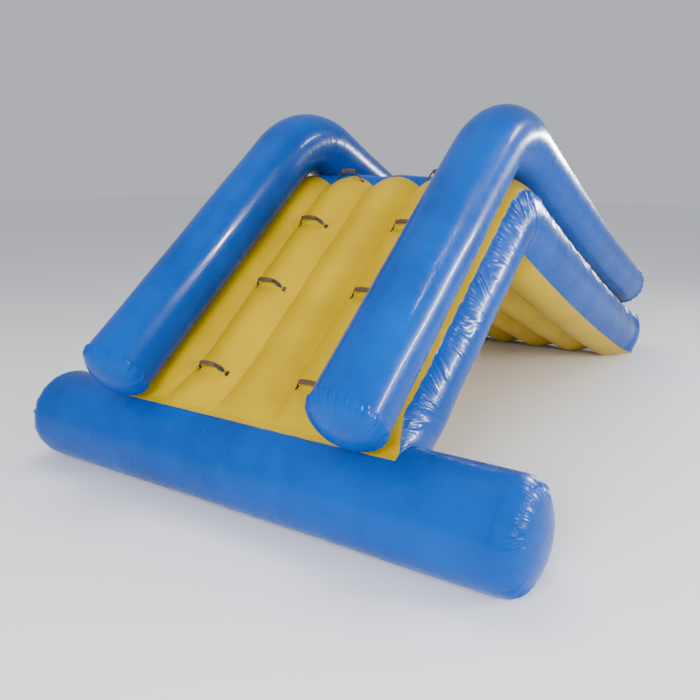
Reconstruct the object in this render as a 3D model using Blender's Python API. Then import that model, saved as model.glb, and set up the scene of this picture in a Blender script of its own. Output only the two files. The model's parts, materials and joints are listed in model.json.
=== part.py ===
"""Inflatable water slide: a float tube, an arched mat to climb and slide on, and two side rails.

The chambers are made as they are on the real thing, from coated sheets welded at their
edges, so every panel is a thin shell of its own. Lengths are in metres and +Z is up.
X runs across the slide, the climbing side faces -Y and the sliding side faces +Y.
The origin lies on the floor, under the middle of the float tube.
"""
import math

import bmesh
import bpy
from mathutils import Matrix, Vector

# Sheet and seams
SHEET = 0.0009            # coated fabric of every chamber
SEAM_GAP = 0.0003         # air left between two pieces that are welded or glued together

# Float tube
FLOAT_RADIUS = 0.285
FLOAT_OVERHANG = 0.64     # from the mat's crowned part to each end seam
FLOAT_DOME_DEPTH = 0.17
FLOAT_SIDES = 28

# Mat that is climbed on one side and slid down on the other
CHANNEL_PITCH = 0.364
CHANNEL_COUNT = 5
CHANNEL_CROWN = 0.085     # how far the sheet swells between two webs
MAT_DEPTH = 0.402         # between the upper and the lower seams
FOLD_RADIUS = 0.020       # the underside's tight bend below the crest
FOOT_SPREAD = 0.090       # each side gets wider where the channels run out
TAIL_SPREAD = 0.045
SIDE_BULGE = 0.095
TAIL_BULGE = 0.045
CLIMB_ANGLE = math.radians(38.1)
SLIDE_ANGLE_TOP = math.radians(25.4)
SLIDE_ANGLE_TAIL = math.radians(19.5)
SLIDE_LENGTH = 3.48
SEAT_HEIGHT = 0.227       # upper seam plane of the climbing side, above the float's centre line
APRON_ANGLE = math.radians(112.3)   # where the climbing sheet ends on the float
LANDING_ANGLE = math.radians(104.0)  # where it first touches the float
LANDING_START = 1.40      # below the crest, where the sheet leaves its plane for the float
CHANNEL_RUNOUT = 0.132    # last stretch before the float, where the channels flatten
RUNOUT_CROWN_SHARE = 0.60
LOW_CROWN_SHARE = 0.73    # under the lowest handles, where the rails leave less room
LEVEL_HALF_LENGTH = 0.03  # the crown stays the same over this much on both sides of them
CLIMB_EVEN = 1.15         # the climbing side has its full section down to here
UNDER_FADE = 0.30         # the underside's channels fade towards the fold over this length
TAIL_FADE = 0.24
TAIL_CROWN_SHARE = 0.35   # channels are this much of their height at the tail's edge
CREST_STEPS = 6
FOLD_SHARE = 0.5          # the seam between both sides is halfway round the crest
SLIDE_ROWS = 4
WALL_COLUMNS = 6          # across the side walls' depth, and round the foot wall
FOOT_BULGE_SHARE = 0.8    # of a side wall, where the channels run out
TAIL_HEIGHT_SHARES = (0.0, 0.28, 0.72, 1.0)
TAIL_BULGE_SHARES = (0.0, 1.0, 1.0, 0.0)

# Shares of half a channel's width and of its crown, from the valley to the top
CHANNEL_WIDTH_SHARES = (-1.0, -0.66, 0.0, 0.66)
CHANNEL_HEIGHT_SHARES = (0.0, 0.565, 1.0, 0.565)

# Sheet that is slid on, stretched between the rails
SLIDE_SHEET_TUCK = 0.102  # its edges stop this far short of the rails' centre lines, under the rails
SLIDE_SHEET_TAIL_ROOM = 0.05

# Side rails
RAIL_RADIUS = 0.209
RAIL_INSET = 0.118        # of its centre line from the edge of the mat's crowned part
RAIL_BEND_RADIUS = 0.55
RAIL_FOOT = 1.828         # its front seam, below the crest
RAIL_DOME_DEPTH = 0.13
RAIL_SIDES = 16
RAIL_BEND_STEPS = 5
DOME_POWER = 2.2
DOME_STEP_SHARES = (0.0, 0.40, 0.70, 0.90)
POLE_RADIUS = 0.042       # flat patch in the middle of a dome

# Grab handles
HANDLE_CHANNELS = (1, 3)
TOP_HANDLE = 0.32         # below the crest, like the next two
MIDDLE_HANDLE = 0.905
LOW_HANDLE = 1.60
HANDLE_REACH = 0.100      # from the handle's middle to its stitched end
HANDLE_HEIGHT = 0.068     # grip above the line that the handle swings about
GRIP_HALF_LENGTH = 0.057
GRIP_ARCH = 0.0085
GRIP_RADIUS = 0.015
GRIP_BORE = 0.0115
GRIP_SIDES = 8
GRIP_STEPS = 4
STRAP_HALF_WIDTH = 0.010
STRAP_THICKNESS = 0.0022
STRAP_REACH_SHARES = (1.0, 0.92, 0.80, 0.66)
STRAP_RISE_SHARES = (0.0, 0.13, 0.43, 0.76)
STRAP_WIDTH_SHARES = (0.4, 0.6, 1.0, 1.0)
BASE_HALF_LENGTH = 0.117
BASE_HALF_WIDTH = 0.021
BASE_THICKNESS = 0.0014
BASE_WIDTH_SHARES = (1.0, 0.84, 0.72, 0.50)   # from its ends to its middle
AXIS_CLEARANCE = 0.0045   # the swing axis above the base's ends
LUG_LENGTH = 0.006
LUG_HALF_HEIGHT = 0.002

# Inflation valves, turned about their own axis, with z pointing out of the chamber
VALVE_SIDES = 12
FLANGE_RADIUS = 0.034
FLANGE_THICKNESS = 0.002
COLLAR_RADIUS = 0.030
COLLAR_HEIGHT = 0.0045
NECK_RADIUS = 0.0205
NECK_LENGTH = 0.0165
BORE_RADIUS = 0.0150
FLOOR_THICKNESS = 0.003
STEM_HOLE_RADIUS = 0.0035
AIR_HOLE_COUNT = 4
AIR_HOLE_SIDES = 6
AIR_HOLE_RADIUS = 0.0034
AIR_HOLE_CIRCLE = 0.0095
SKIN_HOLE_CLEARANCE = 0.0012
CAP_RADIUS = 0.027
CAP_HEIGHT = 0.007
SPIGOT_RADIUS = 0.0135
SPIGOT_LENGTH = 0.0055
CAP_RIB_LENGTH = 0.040
CAP_RIB_WIDTH = 0.006
CAP_RIB_HEIGHT = 0.006
FLAP_RADIUS = 0.0148
FLAP_THICKNESS = 0.0012
FLAP_STEM_RADIUS = 0.0030
FLAP_BUTTON_RADIUS = 0.0050
FLAP_BUTTON_HEIGHT = 0.0018

# Sizes that follow from those above
CROWNED_HALF_WIDTH = CHANNEL_PITCH * CHANNEL_COUNT / 2
FLOAT_TUBE_LENGTH = 2 * (CROWNED_HALF_WIDTH + FLOAT_OVERHANG)
RAIL_OFFSET = CROWNED_HALF_WIDTH - RAIL_INSET
SLIDE_SHEET_HALF_WIDTH = RAIL_OFFSET - SLIDE_SHEET_TUCK
UNDER = FOLD_RADIUS                # offset of the lower seams from the fold line
UPPER = FOLD_RADIUS + MAT_DEPTH    # offset of the upper seams
SLIDE_BEND = (SLIDE_ANGLE_TOP - SLIDE_ANGLE_TAIL) / SLIDE_LENGTH   # turn for each metre
SLIDE_DROP = (math.cos(SLIDE_ANGLE_TAIL) - math.cos(SLIDE_ANGLE_TOP)) / SLIDE_BEND
LOWEST_OFFSET = UNDER - CHANNEL_CROWN * TAIL_CROWN_SHARE
TAIL_EDGE_DROP = (SEAM_GAP + SHEET) * math.sin(SLIDE_ANGLE_TAIL)
FLOAT_AXIS_Z = FLOAT_RADIUS * math.cos(math.pi / FLOAT_SIDES)
CREST_Z = SLIDE_DROP - LOWEST_OFFSET * math.cos(SLIDE_ANGLE_TAIL) + TAIL_EDGE_DROP
SEAT_REACH = UPPER + (CREST_Z - FLOAT_AXIS_Z) * math.cos(CLIMB_ANGLE) - SEAT_HEIGHT
CREST_Y = SEAT_REACH / math.sin(CLIMB_ANGLE)

# Colours as they look in plain light, linear
BLUE = (0.004, 0.155, 0.735)
YELLOW = (0.965, 0.610, 0.020)
WEB_WHITE = (0.74, 0.76, 0.78)
STRAP_BLACK = (0.018, 0.016, 0.016)
GRIP_BROWN = (0.105, 0.075, 0.062)
VALVE_GREY = (0.070, 0.075, 0.085)
FLAP_RUBBER = (0.030, 0.030, 0.032)


def clear_scene():
    for obj in list(bpy.data.objects):
        bpy.data.objects.remove(obj, do_unlink=True)


def surface(name, colour, roughness, metallic=0.0):
    mat = bpy.data.materials.new(name)
    mat.use_nodes = True
    shader = mat.node_tree.nodes["Principled BSDF"]
    shader.inputs["Base Color"].default_value = (*colour, 1.0)
    shader.inputs["Roughness"].default_value = roughness
    shader.inputs["Metallic"].default_value = metallic
    return mat


def finish_object(name, bm, look, place=None, smooth=True):
    """Turn a bmesh of closed bodies into a named object, with its origin at its place."""
    bmesh.ops.recalc_face_normals(bm, faces=bm.faces[:])
    mesh = bpy.data.meshes.new(name)
    bm.to_mesh(mesh)
    bm.free()
    if smooth:
        mesh.shade_smooth()
        mesh.set_sharp_from_angle(angle=math.radians(40))
    mesh.materials.append(look)
    obj = bpy.data.objects.new(name, mesh)
    obj.matrix_world = place if place is not None else Matrix.Identity(4)
    bpy.context.scene.collection.objects.link(obj)
    return obj


def cut_with(obj, name, operation, tool):
    """Cut an object with a tool object, or join the tool to it, and keep the tool out of sight."""
    tool.hide_render = True
    tool.display_type = "WIRE"
    step = obj.modifiers.new(name, "BOOLEAN")
    step.operation = operation
    step.solver = "EXACT"
    step.object = tool


# Building blocks for closed meshes

def add_quad(bm, a, b, c, d):
    """Two triangles, split the same way on both faces of a sheet."""
    bm.faces.new((a, b, c))
    bm.faces.new((a, c, d))


def add_grid_shell(bm, outer, inner, around=False):
    """Close two matching grids of points, rows of columns, into one thin-walled body."""
    front = [[bm.verts.new(p) for p in row] for row in outer]
    back = [[bm.verts.new(p) for p in row] for row in inner]
    rows, columns = len(outer), len(outer[0])
    spans = columns if around else columns - 1
    for grid in (front, back):
        for r in range(rows - 1):
            for c in range(spans):
                d = (c + 1) % columns
                add_quad(bm, grid[r][c], grid[r][d], grid[r + 1][d], grid[r + 1][c])
    for r in (0, rows - 1):
        for c in range(spans):
            d = (c + 1) % columns
            add_quad(bm, front[r][c], front[r][d], back[r][d], back[r][c])
    if not around:
        for c in (0, columns - 1):
            for r in range(rows - 1):
                add_quad(bm, front[r][c], front[r + 1][c], back[r + 1][c], back[r][c])


def add_loft(bm, rings):
    """Join rings of equally many points and close both ends."""
    made = [[bm.verts.new(p) for p in ring] for ring in rings]
    count = len(rings[0])
    for a, b in zip(made, made[1:]):
        for i in range(count):
            j = (i + 1) % count
            bm.faces.new((a[i], a[j], b[j], b[i]))
    bm.faces.new(made[0])
    bm.faces.new(made[-1])


def add_turned(bm, place, profile, sides, closed=False, phase_share=0.5):
    """Turn a profile of (radius, height) points about the place's z axis.

    An open profile starts and ends on the axis; a closed one never meets it.
    """
    rings = []
    for radius, height in profile:
        if radius == 0:
            rings.append([bm.verts.new(place @ Vector((0, 0, height)))] * sides)
            continue
        ring = []
        for i in range(sides):
            turn = math.tau * (i + phase_share) / sides
            spot = Vector((radius * math.cos(turn), radius * math.sin(turn), height))
            ring.append(bm.verts.new(place @ spot))
        rings.append(ring)
    pairs = list(zip(rings, rings[1:]))
    if closed:
        pairs.append((rings[-1], rings[0]))
    for a, b in pairs:
        for i in range(sides):
            j = (i + 1) % sides
            corners = []
            for v in (a[i], a[j], b[j], b[i]):
                if v not in corners:
                    corners.append(v)
            if len(corners) > 2:
                bm.faces.new(corners)


# Side view of the mat: stations along its fold line, each with the direction that is up from it

class Station:
    """A place along the mat: a point on its fold line and the tilt of its normal towards +Y."""

    def __init__(self, y, z, tilt):
        self.y, self.z, self.tilt = y, z, tilt

    def at(self, x, offset):
        return Vector((x, self.y + offset * math.sin(self.tilt), self.z + offset * math.cos(self.tilt)))

    def along(self, distance):
        """The same station moved forward, down the sliding side."""
        y = self.y + distance * math.cos(self.tilt)
        return Station(y, self.z - distance * math.sin(self.tilt), self.tilt)


def climb_station(below_crest):
    y = CREST_Y - below_crest * math.cos(CLIMB_ANGLE)
    return Station(y, CREST_Z - below_crest * math.sin(CLIMB_ANGLE), -CLIMB_ANGLE)


def crest_station(share):
    """From 0 at the climbing side to 1 at the sliding side, all about the fold."""
    tilt = -CLIMB_ANGLE + share * (CLIMB_ANGLE + SLIDE_ANGLE_TOP)
    return Station(CREST_Y, CREST_Z, tilt)


def slide_station(below_crest):
    tilt = SLIDE_ANGLE_TOP - SLIDE_BEND * below_crest
    y = CREST_Y + (math.sin(SLIDE_ANGLE_TOP) - math.sin(tilt)) / SLIDE_BEND
    z = CREST_Z + (math.cos(SLIDE_ANGLE_TOP) - math.cos(tilt)) / SLIDE_BEND
    return Station(y, z, tilt)


def float_station(angle, radius):
    """A station whose upper seam offset lies on a circle round the float's centre line."""
    tilt = math.pi / 2 - angle
    reach = radius - UPPER
    return Station(reach * math.cos(angle), FLOAT_AXIS_Z + reach * math.sin(angle), tilt)


def blend_stations(a, b, share):
    """A station whose upper seam lies on the straight line between two others."""
    start, end = a.at(0, UPPER), b.at(0, UPPER)
    spot = start.lerp(end, share)
    tilt = -math.atan2(end.z - start.z, end.y - start.y)
    return Station(spot.y - UPPER * math.sin(tilt), spot.z - UPPER * math.cos(tilt), tilt)


# A row of the mat: its station, its share of the crown, and how much wider it is than the crowned part

def landing_rows():
    """The climbing sheet's last stretch, from the float up to its own plane."""
    touch = float_station(LANDING_ANGLE, foot_radius() + 2 * SHEET + SEAM_GAP)
    hem = float_station(APRON_ANGLE, FLOAT_RADIUS + SHEET + SEAM_GAP)
    plane = climb_station(LANDING_START)
    run = (plane.at(0, UPPER) - touch.at(0, UPPER)).length
    rows = [(hem, 0.0, FOOT_SPREAD), (touch, 0.0, FOOT_SPREAD)]
    rows.append((blend_stations(touch, plane, CHANNEL_RUNOUT / run), RUNOUT_CROWN_SHARE, 0.0))
    for side in (1, -1):
        below = LOW_HANDLE + side * LEVEL_HALF_LENGTH - LANDING_START
        rows.append((blend_stations(touch, plane, 1 - below / run), LOW_CROWN_SHARE, 0.0))
    return rows + [(plane, 1.0, 0.0)]


def crest_rows():
    return [(crest_station(i / CREST_STEPS), 1.0, 0.0) for i in range(CREST_STEPS + 1)]


def slide_distances():
    """Places below the crest that all pieces of the sliding side share."""
    step = (SLIDE_LENGTH - TAIL_FADE - UNDER_FADE) / SLIDE_ROWS
    return [0.0] + [UNDER_FADE + step * i for i in range(SLIDE_ROWS + 1)] + [SLIDE_LENGTH]


def slide_rows():
    rows = [(slide_station(d), 1.0, 0.0) for d in slide_distances()]
    rows[-1] = (rows[-1][0], TAIL_CROWN_SHARE, TAIL_SPREAD)
    return rows


def column_places():
    """Across the mat: place from the middle, and share of the crown there."""
    places = []
    for channel in range(CHANNEL_COUNT):
        middle = (channel - (CHANNEL_COUNT - 1) / 2) * CHANNEL_PITCH
        for width, height in zip(CHANNEL_WIDTH_SHARES, CHANNEL_HEIGHT_SHARES):
            places.append((middle + width * CHANNEL_PITCH / 2, height))
    places.append((CROWNED_HALF_WIDTH, 0.0))
    return places


# Upper and lower sheets of the mat

def skin_grid(rows, seam, swell, depth):
    """Points of a swelling sheet, at a depth below its outer face."""
    grid = []
    for station, crown, spread in rows:
        widen = 1 + spread / CROWNED_HALF_WIDTH
        row = []
        for place, height in column_places():
            offset = seam + swell * (CHANNEL_CROWN * crown * height - depth)
            row.append(station.at(place * widen, offset))
        grid.append(row)
    return grid


def add_skin(name, rows, seam, swell, look):
    bm = bmesh.new()
    add_grid_shell(bm, skin_grid(rows, seam, swell, 0), skin_grid(rows, seam, swell, SHEET))
    return finish_object(name, bm, look)


def draw_in(row, distance):
    station, crown, spread = row
    return station.along(distance), crown, spread


def foot_radius():
    """Of the foot wall's face to the float, whose chords clear the float's corners."""
    start = CLIMB_ANGLE + math.asin((SEAT_HEIGHT - MAT_DEPTH) / FLOAT_RADIUS)
    step = (LANDING_ANGLE - start) / WALL_COLUMNS
    return FLOAT_RADIUS / math.cos(step / 2) + SEAM_GAP


def foot_distance():
    """How far below the crest the underside's plane meets the float."""
    height = SEAT_HEIGHT - MAT_DEPTH
    level = CREST_Y * math.cos(CLIMB_ANGLE) + (CREST_Z - FLOAT_AXIS_Z) * math.sin(CLIMB_ANGLE)
    return level - math.sqrt(foot_radius() ** 2 - height ** 2)


def make_mat_skins(yellow):
    slide = slide_rows()
    climb = landing_rows() + [(climb_station(CLIMB_EVEN), 1.0, 0.0)] + crest_rows()
    climb[-1] = draw_in(climb[-1], -SEAM_GAP / 2)
    add_skin("climb_skin", climb, UPPER, 1, yellow)
    add_skin("slide_skin", [draw_in(slide[0], SEAM_GAP / 2)] + slide[1:], UPPER, 1, yellow)

    foot = foot_distance()
    fold = (crest_station(FOLD_SHARE), 0.0, 0.0)
    climb = [(climb_station(foot), 0.0, FOOT_SPREAD), (climb_station(foot - CHANNEL_RUNOUT), 1.0, 0.0),
             (climb_station(UNDER_FADE), 1.0, 0.0), (climb_station(0), 0.0, 0.0)]
    add_skin("climb_underside", climb + [draw_in(fold, -SEAM_GAP / 2)], UNDER, -1, yellow)
    start = [draw_in(fold, SEAM_GAP / 2), (slide_station(0), 0.0, 0.0)]
    add_skin("slide_underside", start + slide[1:], UNDER, -1, yellow)


# Walls round the mat

def wall_row(row, side, inset):
    """One row of a side wall, from its lower to its upper seam."""
    lower, upper, spread, bulge = row
    low = lower.at(0, UNDER + SHEET + SEAM_GAP)
    high = upper.at(0, UPPER - SHEET - SEAM_GAP)
    points = []
    for c in range(WALL_COLUMNS + 1):
        share = c / WALL_COLUMNS
        out = CROWNED_HALF_WIDTH + spread + SIDE_BULGE * bulge * 4 * share * (1 - share) - inset
        spot = low.lerp(high, share)
        points.append(Vector((side * out, spot.y, spot.z)))
    return points


def foot_arc(depth):
    """Places round the float's upper back where the mat sits, from its lower to its upper seam."""
    start = climb_station(foot_distance()).at(0, UNDER + 3 * SHEET + 2 * SEAM_GAP)
    first = math.atan2(start.z - FLOAT_AXIS_Z, start.y)
    radius = foot_radius() + depth
    points = []
    for c in range(WALL_COLUMNS + 1):
        turn = first + (LANDING_ANGLE - first) * c / WALL_COLUMNS
        points.append(Vector((0, radius * math.cos(turn), FLOAT_AXIS_Z + radius * math.sin(turn))))
    return points


def foot_row(side, inset):
    out = CROWNED_HALF_WIDTH + FOOT_SPREAD - inset
    return [Vector((side * out, p.y, p.z)) for p in foot_arc(0)]


def climb_wall_rows():
    """Lower and upper station, extra width and share of the bulge, from the float to the crest."""
    landing = landing_rows()
    rows = [(climb_station(foot_distance() - CHANNEL_RUNOUT), landing[2][0], 0.0, FOOT_BULGE_SHARE)]
    for distance in (LANDING_START, CLIMB_EVEN, 0.0):
        rows.append((climb_station(distance), climb_station(distance), 0.0, 1.0))
    for i in range(1, CREST_STEPS // 2):
        rows.append((crest_station(i / CREST_STEPS), crest_station(i / CREST_STEPS), 0.0, 1.0))
    fold = crest_station(FOLD_SHARE).along(-SEAM_GAP / 2)
    return rows + [(fold, fold, 0.0, 1.0)]


def slide_wall_rows():
    stations = [crest_station(FOLD_SHARE).along(SEAM_GAP / 2)]
    stations += [crest_station(i / CREST_STEPS) for i in range(CREST_STEPS // 2 + 1, CREST_STEPS)]
    stations += [slide_station(d) for d in slide_distances()]
    rows = [(station, station, 0.0, 1.0) for station in stations]
    rows[-1] = (stations[-1], stations[-1], TAIL_SPREAD, 0.0)
    return rows


def make_side_walls(look):
    """Four walls: a climbing and a sliding one on each side, mitred at the crest."""
    for side, word in ((-1, "left"), (1, "right")):
        grids = [[foot_row(side, inset)] + [wall_row(row, side, inset) for row in climb_wall_rows()]
                 for inset in (0, SHEET)]
        bm = bmesh.new()
        add_grid_shell(bm, *grids)
        finish_object(f"climb_wall_{word}", bm, look)
        grids = [[wall_row(row, side, inset) for row in slide_wall_rows()] for inset in (0, SHEET)]
        bm = bmesh.new()
        add_grid_shell(bm, *grids)
        finish_object(f"slide_wall_{word}", bm, look)


def make_foot_wall(look):
    """The mat's end that is cradled on the float's upper back."""
    half_width = CROWNED_HALF_WIDTH + FOOT_SPREAD - 3 * SHEET
    grids = []
    for depth in (0, SHEET):
        grids.append([[Vector((x, p.y, p.z)) for x in (-half_width, half_width)] for p in foot_arc(depth)])
    bm = bmesh.new()
    add_grid_shell(bm, *grids)
    finish_object("foot_wall", bm, look)


def tail_frame():
    """Middle of the tail wall's outer face, with z pointing out of the mat."""
    station = slide_station(SLIDE_LENGTH)
    up = Vector((0, math.sin(station.tilt), math.cos(station.tilt)))
    out = Vector((0, math.cos(station.tilt), -math.sin(station.tilt)))
    frame = Matrix((up.cross(out), up, out)).transposed().to_4x4()
    frame.translation = station.at(0, (UNDER + UPPER) / 2) + out * (SEAM_GAP + TAIL_BULGE + SHEET)
    return frame


def make_tail_wall(look):
    station = slide_station(SLIDE_LENGTH).along(SEAM_GAP + SHEET)
    places = column_places()
    grids = []
    for depth in (0, SHEET):
        rows = []
        for share, bulge in zip(TAIL_HEIGHT_SHARES, TAIL_BULGE_SHARES):
            row = []
            for i, (place, height) in enumerate(places):
                crown = CHANNEL_CROWN * TAIL_CROWN_SHARE * height
                low, high = UNDER - crown, UPPER + crown
                edge = i in (0, len(places) - 1)
                spot = station.along((0 if edge else TAIL_BULGE * bulge) - depth)
                x = place * (1 + TAIL_SPREAD / CROWNED_HALF_WIDTH)
                row.append(spot.at(x, low + (high - low) * share))
            rows.append(row)
        grids.append(rows)
    bm = bmesh.new()
    add_grid_shell(bm, *grids)
    wall = finish_object("tail_wall", bm, look)
    radius = NECK_RADIUS + SKIN_HOLE_CLEARANCE
    reach = TAIL_BULGE / 2
    hole = bmesh.new()
    profile = [(0, -reach), (radius, -reach), (radius, reach), (0, reach)]
    add_turned(hole, tail_frame(), profile, VALVE_SIDES)
    cut_with(wall, "valve hole", "DIFFERENCE", finish_object("tail_hole_cutter", hole, look))


def make_webs(look):
    """Upright sheets under the valleys, which hold the upper and lower sheets together."""
    stations = [climb_station(LANDING_START), climb_station(CLIMB_EVEN)]
    stations += [crest_station(i / CREST_STEPS) for i in range(CREST_STEPS)]
    stations += [slide_station(d) for d in slide_distances()[:-1]]
    room = SHEET + SEAM_GAP
    for i, word in enumerate(("outer_left", "inner_left", "inner_right", "outer_right")):
        x = (i + 1 - CHANNEL_COUNT / 2) * CHANNEL_PITCH
        grids = []
        for shift in (-SHEET / 2, SHEET / 2):
            grids.append([[s.at(x + shift, UNDER + room), s.at(x + shift, UPPER - room)] for s in stations])
        bm = bmesh.new()
        add_grid_shell(bm, *grids)
        finish_object(f"web_{word}", bm, look)


def make_slide_sheet(look):
    """A slick sheet that lies flat over the channels, from the crest to the tail."""
    rows = [(crest_station(i / CREST_STEPS), 1.0) for i in range(CREST_STEPS // 2, CREST_STEPS)]
    rows += [(station, crown) for station, crown, _ in slide_rows()[:-1]]
    share = 1 - SLIDE_SHEET_TAIL_ROOM / TAIL_FADE
    end = blend_stations(rows[-1][0], slide_station(SLIDE_LENGTH), share)
    rows.append((end, 1 - (1 - TAIL_CROWN_SHARE) * share))
    grids = []
    for depth in (SHEET, 0):
        grid = []
        for station, crown in rows:
            offset = UPPER + CHANNEL_CROWN * crown + SEAM_GAP + depth
            edges = (-SLIDE_SHEET_HALF_WIDTH, SLIDE_SHEET_HALF_WIDTH)
            grid.append([station.at(x, offset) for x in edges])
        grids.append(grid)
    bm = bmesh.new()
    add_grid_shell(bm, *grids)
    finish_object("slide_sheet", bm, look)


# Round tubes and their domed ends

def tube_grids(centres, tilts, radius, sides):
    """Rings of a tube whose centre line lies in a plane of constant X."""
    grids = []
    for depth in (0, SHEET):
        rows = []
        for centre, tilt in zip(centres, tilts):
            up = Vector((0, math.sin(tilt), math.cos(tilt)))
            ring = []
            for k in range(sides):
                turn = math.tau * (k + 0.5) / sides
                arm = Vector((math.cos(turn), 0, 0)) + math.sin(turn) * up
                ring.append(centre + (radius - depth) * arm)
            rows.append(ring)
        grids.append(rows)
    return grids


def dome_profile(radius, depth, hole_radius):
    """Cross-section of a domed end's sheet, out from the pole and back; with no hole it closes there."""
    outer, inner = [], []
    for share in DOME_STEP_SHARES:
        width = (1 - share ** DOME_POWER) ** (1 / DOME_POWER)
        outer.append((radius * width, depth * share))
        inner.append(((radius - SHEET) * width, (depth - SHEET) * share))
    outer += [(POLE_RADIUS, depth), (hole_radius, depth)]
    inner += [(POLE_RADIUS - SHEET, depth - SHEET), (hole_radius, depth - SHEET)]
    return outer[::-1] + inner


def add_dome(name, frame, radius, depth, sides, has_valve, look):
    hole = NECK_RADIUS + SKIN_HOLE_CLEARANCE if has_valve else 0
    bm = bmesh.new()
    add_turned(bm, frame, dome_profile(radius, depth, hole), sides, closed=has_valve)
    finish_object(name, bm, look)


def float_end_frame(side):
    """At an end seam of the float, with z pointing out along X."""
    out = Vector((side, 0, 0))
    up = Vector((0, 0, 1))
    frame = Matrix((up.cross(out), up, out)).transposed().to_4x4()
    frame.translation = Vector((side * (FLOAT_TUBE_LENGTH / 2 + SEAM_GAP), 0, FLOAT_AXIS_Z))
    return frame


def make_float(look):
    grids = []
    for depth in (0, SHEET):
        rows = []
        for x in (-FLOAT_TUBE_LENGTH / 2, FLOAT_TUBE_LENGTH / 2):
            ring = []
            for k in range(FLOAT_SIDES):
                turn = math.tau * (k + 0.5) / FLOAT_SIDES
                radius = FLOAT_RADIUS - depth
                ring.append(Vector((x, radius * math.cos(turn), FLOAT_AXIS_Z + radius * math.sin(turn))))
            rows.append(ring)
        grids.append(rows)
    bm = bmesh.new()
    add_grid_shell(bm, *grids, around=True)
    finish_object("float_tube", bm, look)
    for side, word in ((-1, "left"), (1, "right")):
        frame = float_end_frame(side)
        add_dome(f"float_end_{word}", frame, FLOAT_RADIUS, FLOAT_DOME_DEPTH, FLOAT_SIDES, side < 0, look)


# Side rails

def rail_underside():
    """Lower half of a rail's ring: places across the slide and heights about its centre line."""
    points = []
    for k in range(RAIL_SIDES):
        turn = math.tau * (k + 0.5) / RAIL_SIDES
        if math.sin(turn) < 0:
            points.append((RAIL_OFFSET + RAIL_RADIUS * math.cos(turn), RAIL_RADIUS * math.sin(turn)))
    return sorted(points)


def height_at(points, x):
    for (x0, h0), (x1, h1) in zip(points, points[1:]):
        if x0 <= x <= x1:
            return h0 + (h1 - h0) * (x - x0) / (x1 - x0)
    return None


def rail_seat():
    """Offset of a rail's centre line when it is let down until it meets the swelling sheet."""
    skin = [(x, CHANNEL_CROWN * height) for x, height in column_places()]
    rail = rail_underside()
    needed = []
    for x, _ in skin + rail:
        low, high = height_at(rail, x), height_at(skin, x)
        if low is not None and high is not None:
            needed.append(high - low)
    return UPPER + max(needed) + SEAM_GAP


def rail_stations():
    """Stations of a rail's climbing leg, its bend and its sliding leg."""
    seat = rail_seat()
    half_turn = (CLIMB_ANGLE + SLIDE_ANGLE_TOP) / 2
    start = climb_station(0).along((seat - RAIL_BEND_RADIUS) * math.tan(half_turn))
    pivot = start.at(0, seat - RAIL_BEND_RADIUS)
    stations = [climb_station(RAIL_FOOT)]
    for i in range(RAIL_BEND_STEPS + 1):
        tilt = -CLIMB_ANGLE + 2 * half_turn * i / RAIL_BEND_STEPS
        arm = RAIL_BEND_RADIUS - seat
        stations.append(Station(pivot.y + arm * math.sin(tilt), pivot.z + arm * math.cos(tilt), tilt))
    return stations + [slide_station(d) for d in slide_distances()[1:-1]]


def rail_end_frame(station, x, forward):
    """At an end seam of a rail, with z pointing out along it."""
    up = Vector((0, math.sin(station.tilt), math.cos(station.tilt)))
    out = forward * Vector((0, math.cos(station.tilt), -math.sin(station.tilt)))
    frame = Matrix((up.cross(out), up, out)).transposed().to_4x4()
    frame.translation = station.at(x, rail_seat()) + out * SEAM_GAP
    return frame


def make_rails(look):
    seat = rail_seat()
    stations = rail_stations()
    for side, word in ((-1, "left"), (1, "right")):
        x = side * RAIL_OFFSET
        centres = [s.at(x, seat) for s in stations]
        bm = bmesh.new()
        grids = tube_grids(centres, [s.tilt for s in stations], RAIL_RADIUS, RAIL_SIDES)
        add_grid_shell(bm, *grids, around=True)
        finish_object(f"rail_{word}_tube", bm, look)
        for end, station, forward in (("foot", stations[0], -1), ("tail", stations[-1], 1)):
            frame = rail_end_frame(station, x, forward)
            has_valve = end == "tail"
            name = f"rail_{word}_{end}_end"
            add_dome(name, frame, RAIL_RADIUS, RAIL_DOME_DEPTH, RAIL_SIDES, has_valve, look)


# Grab handles

def crown_slope():
    """Fall of the sheet for each metre away from a channel's top, up to its first crease."""
    reach = -CHANNEL_WIDTH_SHARES[1] * CHANNEL_PITCH / 2
    return CHANNEL_CROWN * (1 - CHANNEL_HEIGHT_SHARES[1]) / reach


def base_height(crown, x):
    """Upper face of a handle's base above the seam plane; crown is the channel's share there."""
    return crown * (CHANNEL_CROWN - crown_slope() * abs(x)) + SEAM_GAP + BASE_THICKNESS


def axis_height(crown):
    """The line that a handle swings about, above the seam plane."""
    return base_height(crown, HANDLE_REACH) + AXIS_CLEARANCE


def handle_rows():
    """Station and share of the crown of each pair of handles."""
    landing = landing_rows()
    below, above = landing[3][0], landing[4][0]
    crest = blend_stations(crest_station(2 / CREST_STEPS), crest_station(3 / CREST_STEPS), 0.5)
    low = blend_stations(below, above, 0.5)
    return {"crest": (crest, 1.0), "top": (climb_station(TOP_HANDLE), 1.0),
            "middle": (climb_station(MIDDLE_HANDLE), 1.0), "low": (low, LOW_CROWN_SHARE)}


def handle_frame(station, crown, x):
    up = Vector((0, math.sin(station.tilt), math.cos(station.tilt)))
    ahead = Vector((0, math.cos(station.tilt), -math.sin(station.tilt)))
    frame = Matrix((Vector((1, 0, 0)), ahead, up)).transposed().to_4x4()
    frame.translation = station.at(x, UPPER + axis_height(crown))
    return frame


def grip_height(x):
    return HANDLE_HEIGHT - GRIP_ARCH * (x / GRIP_HALF_LENGTH) ** 2


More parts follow.
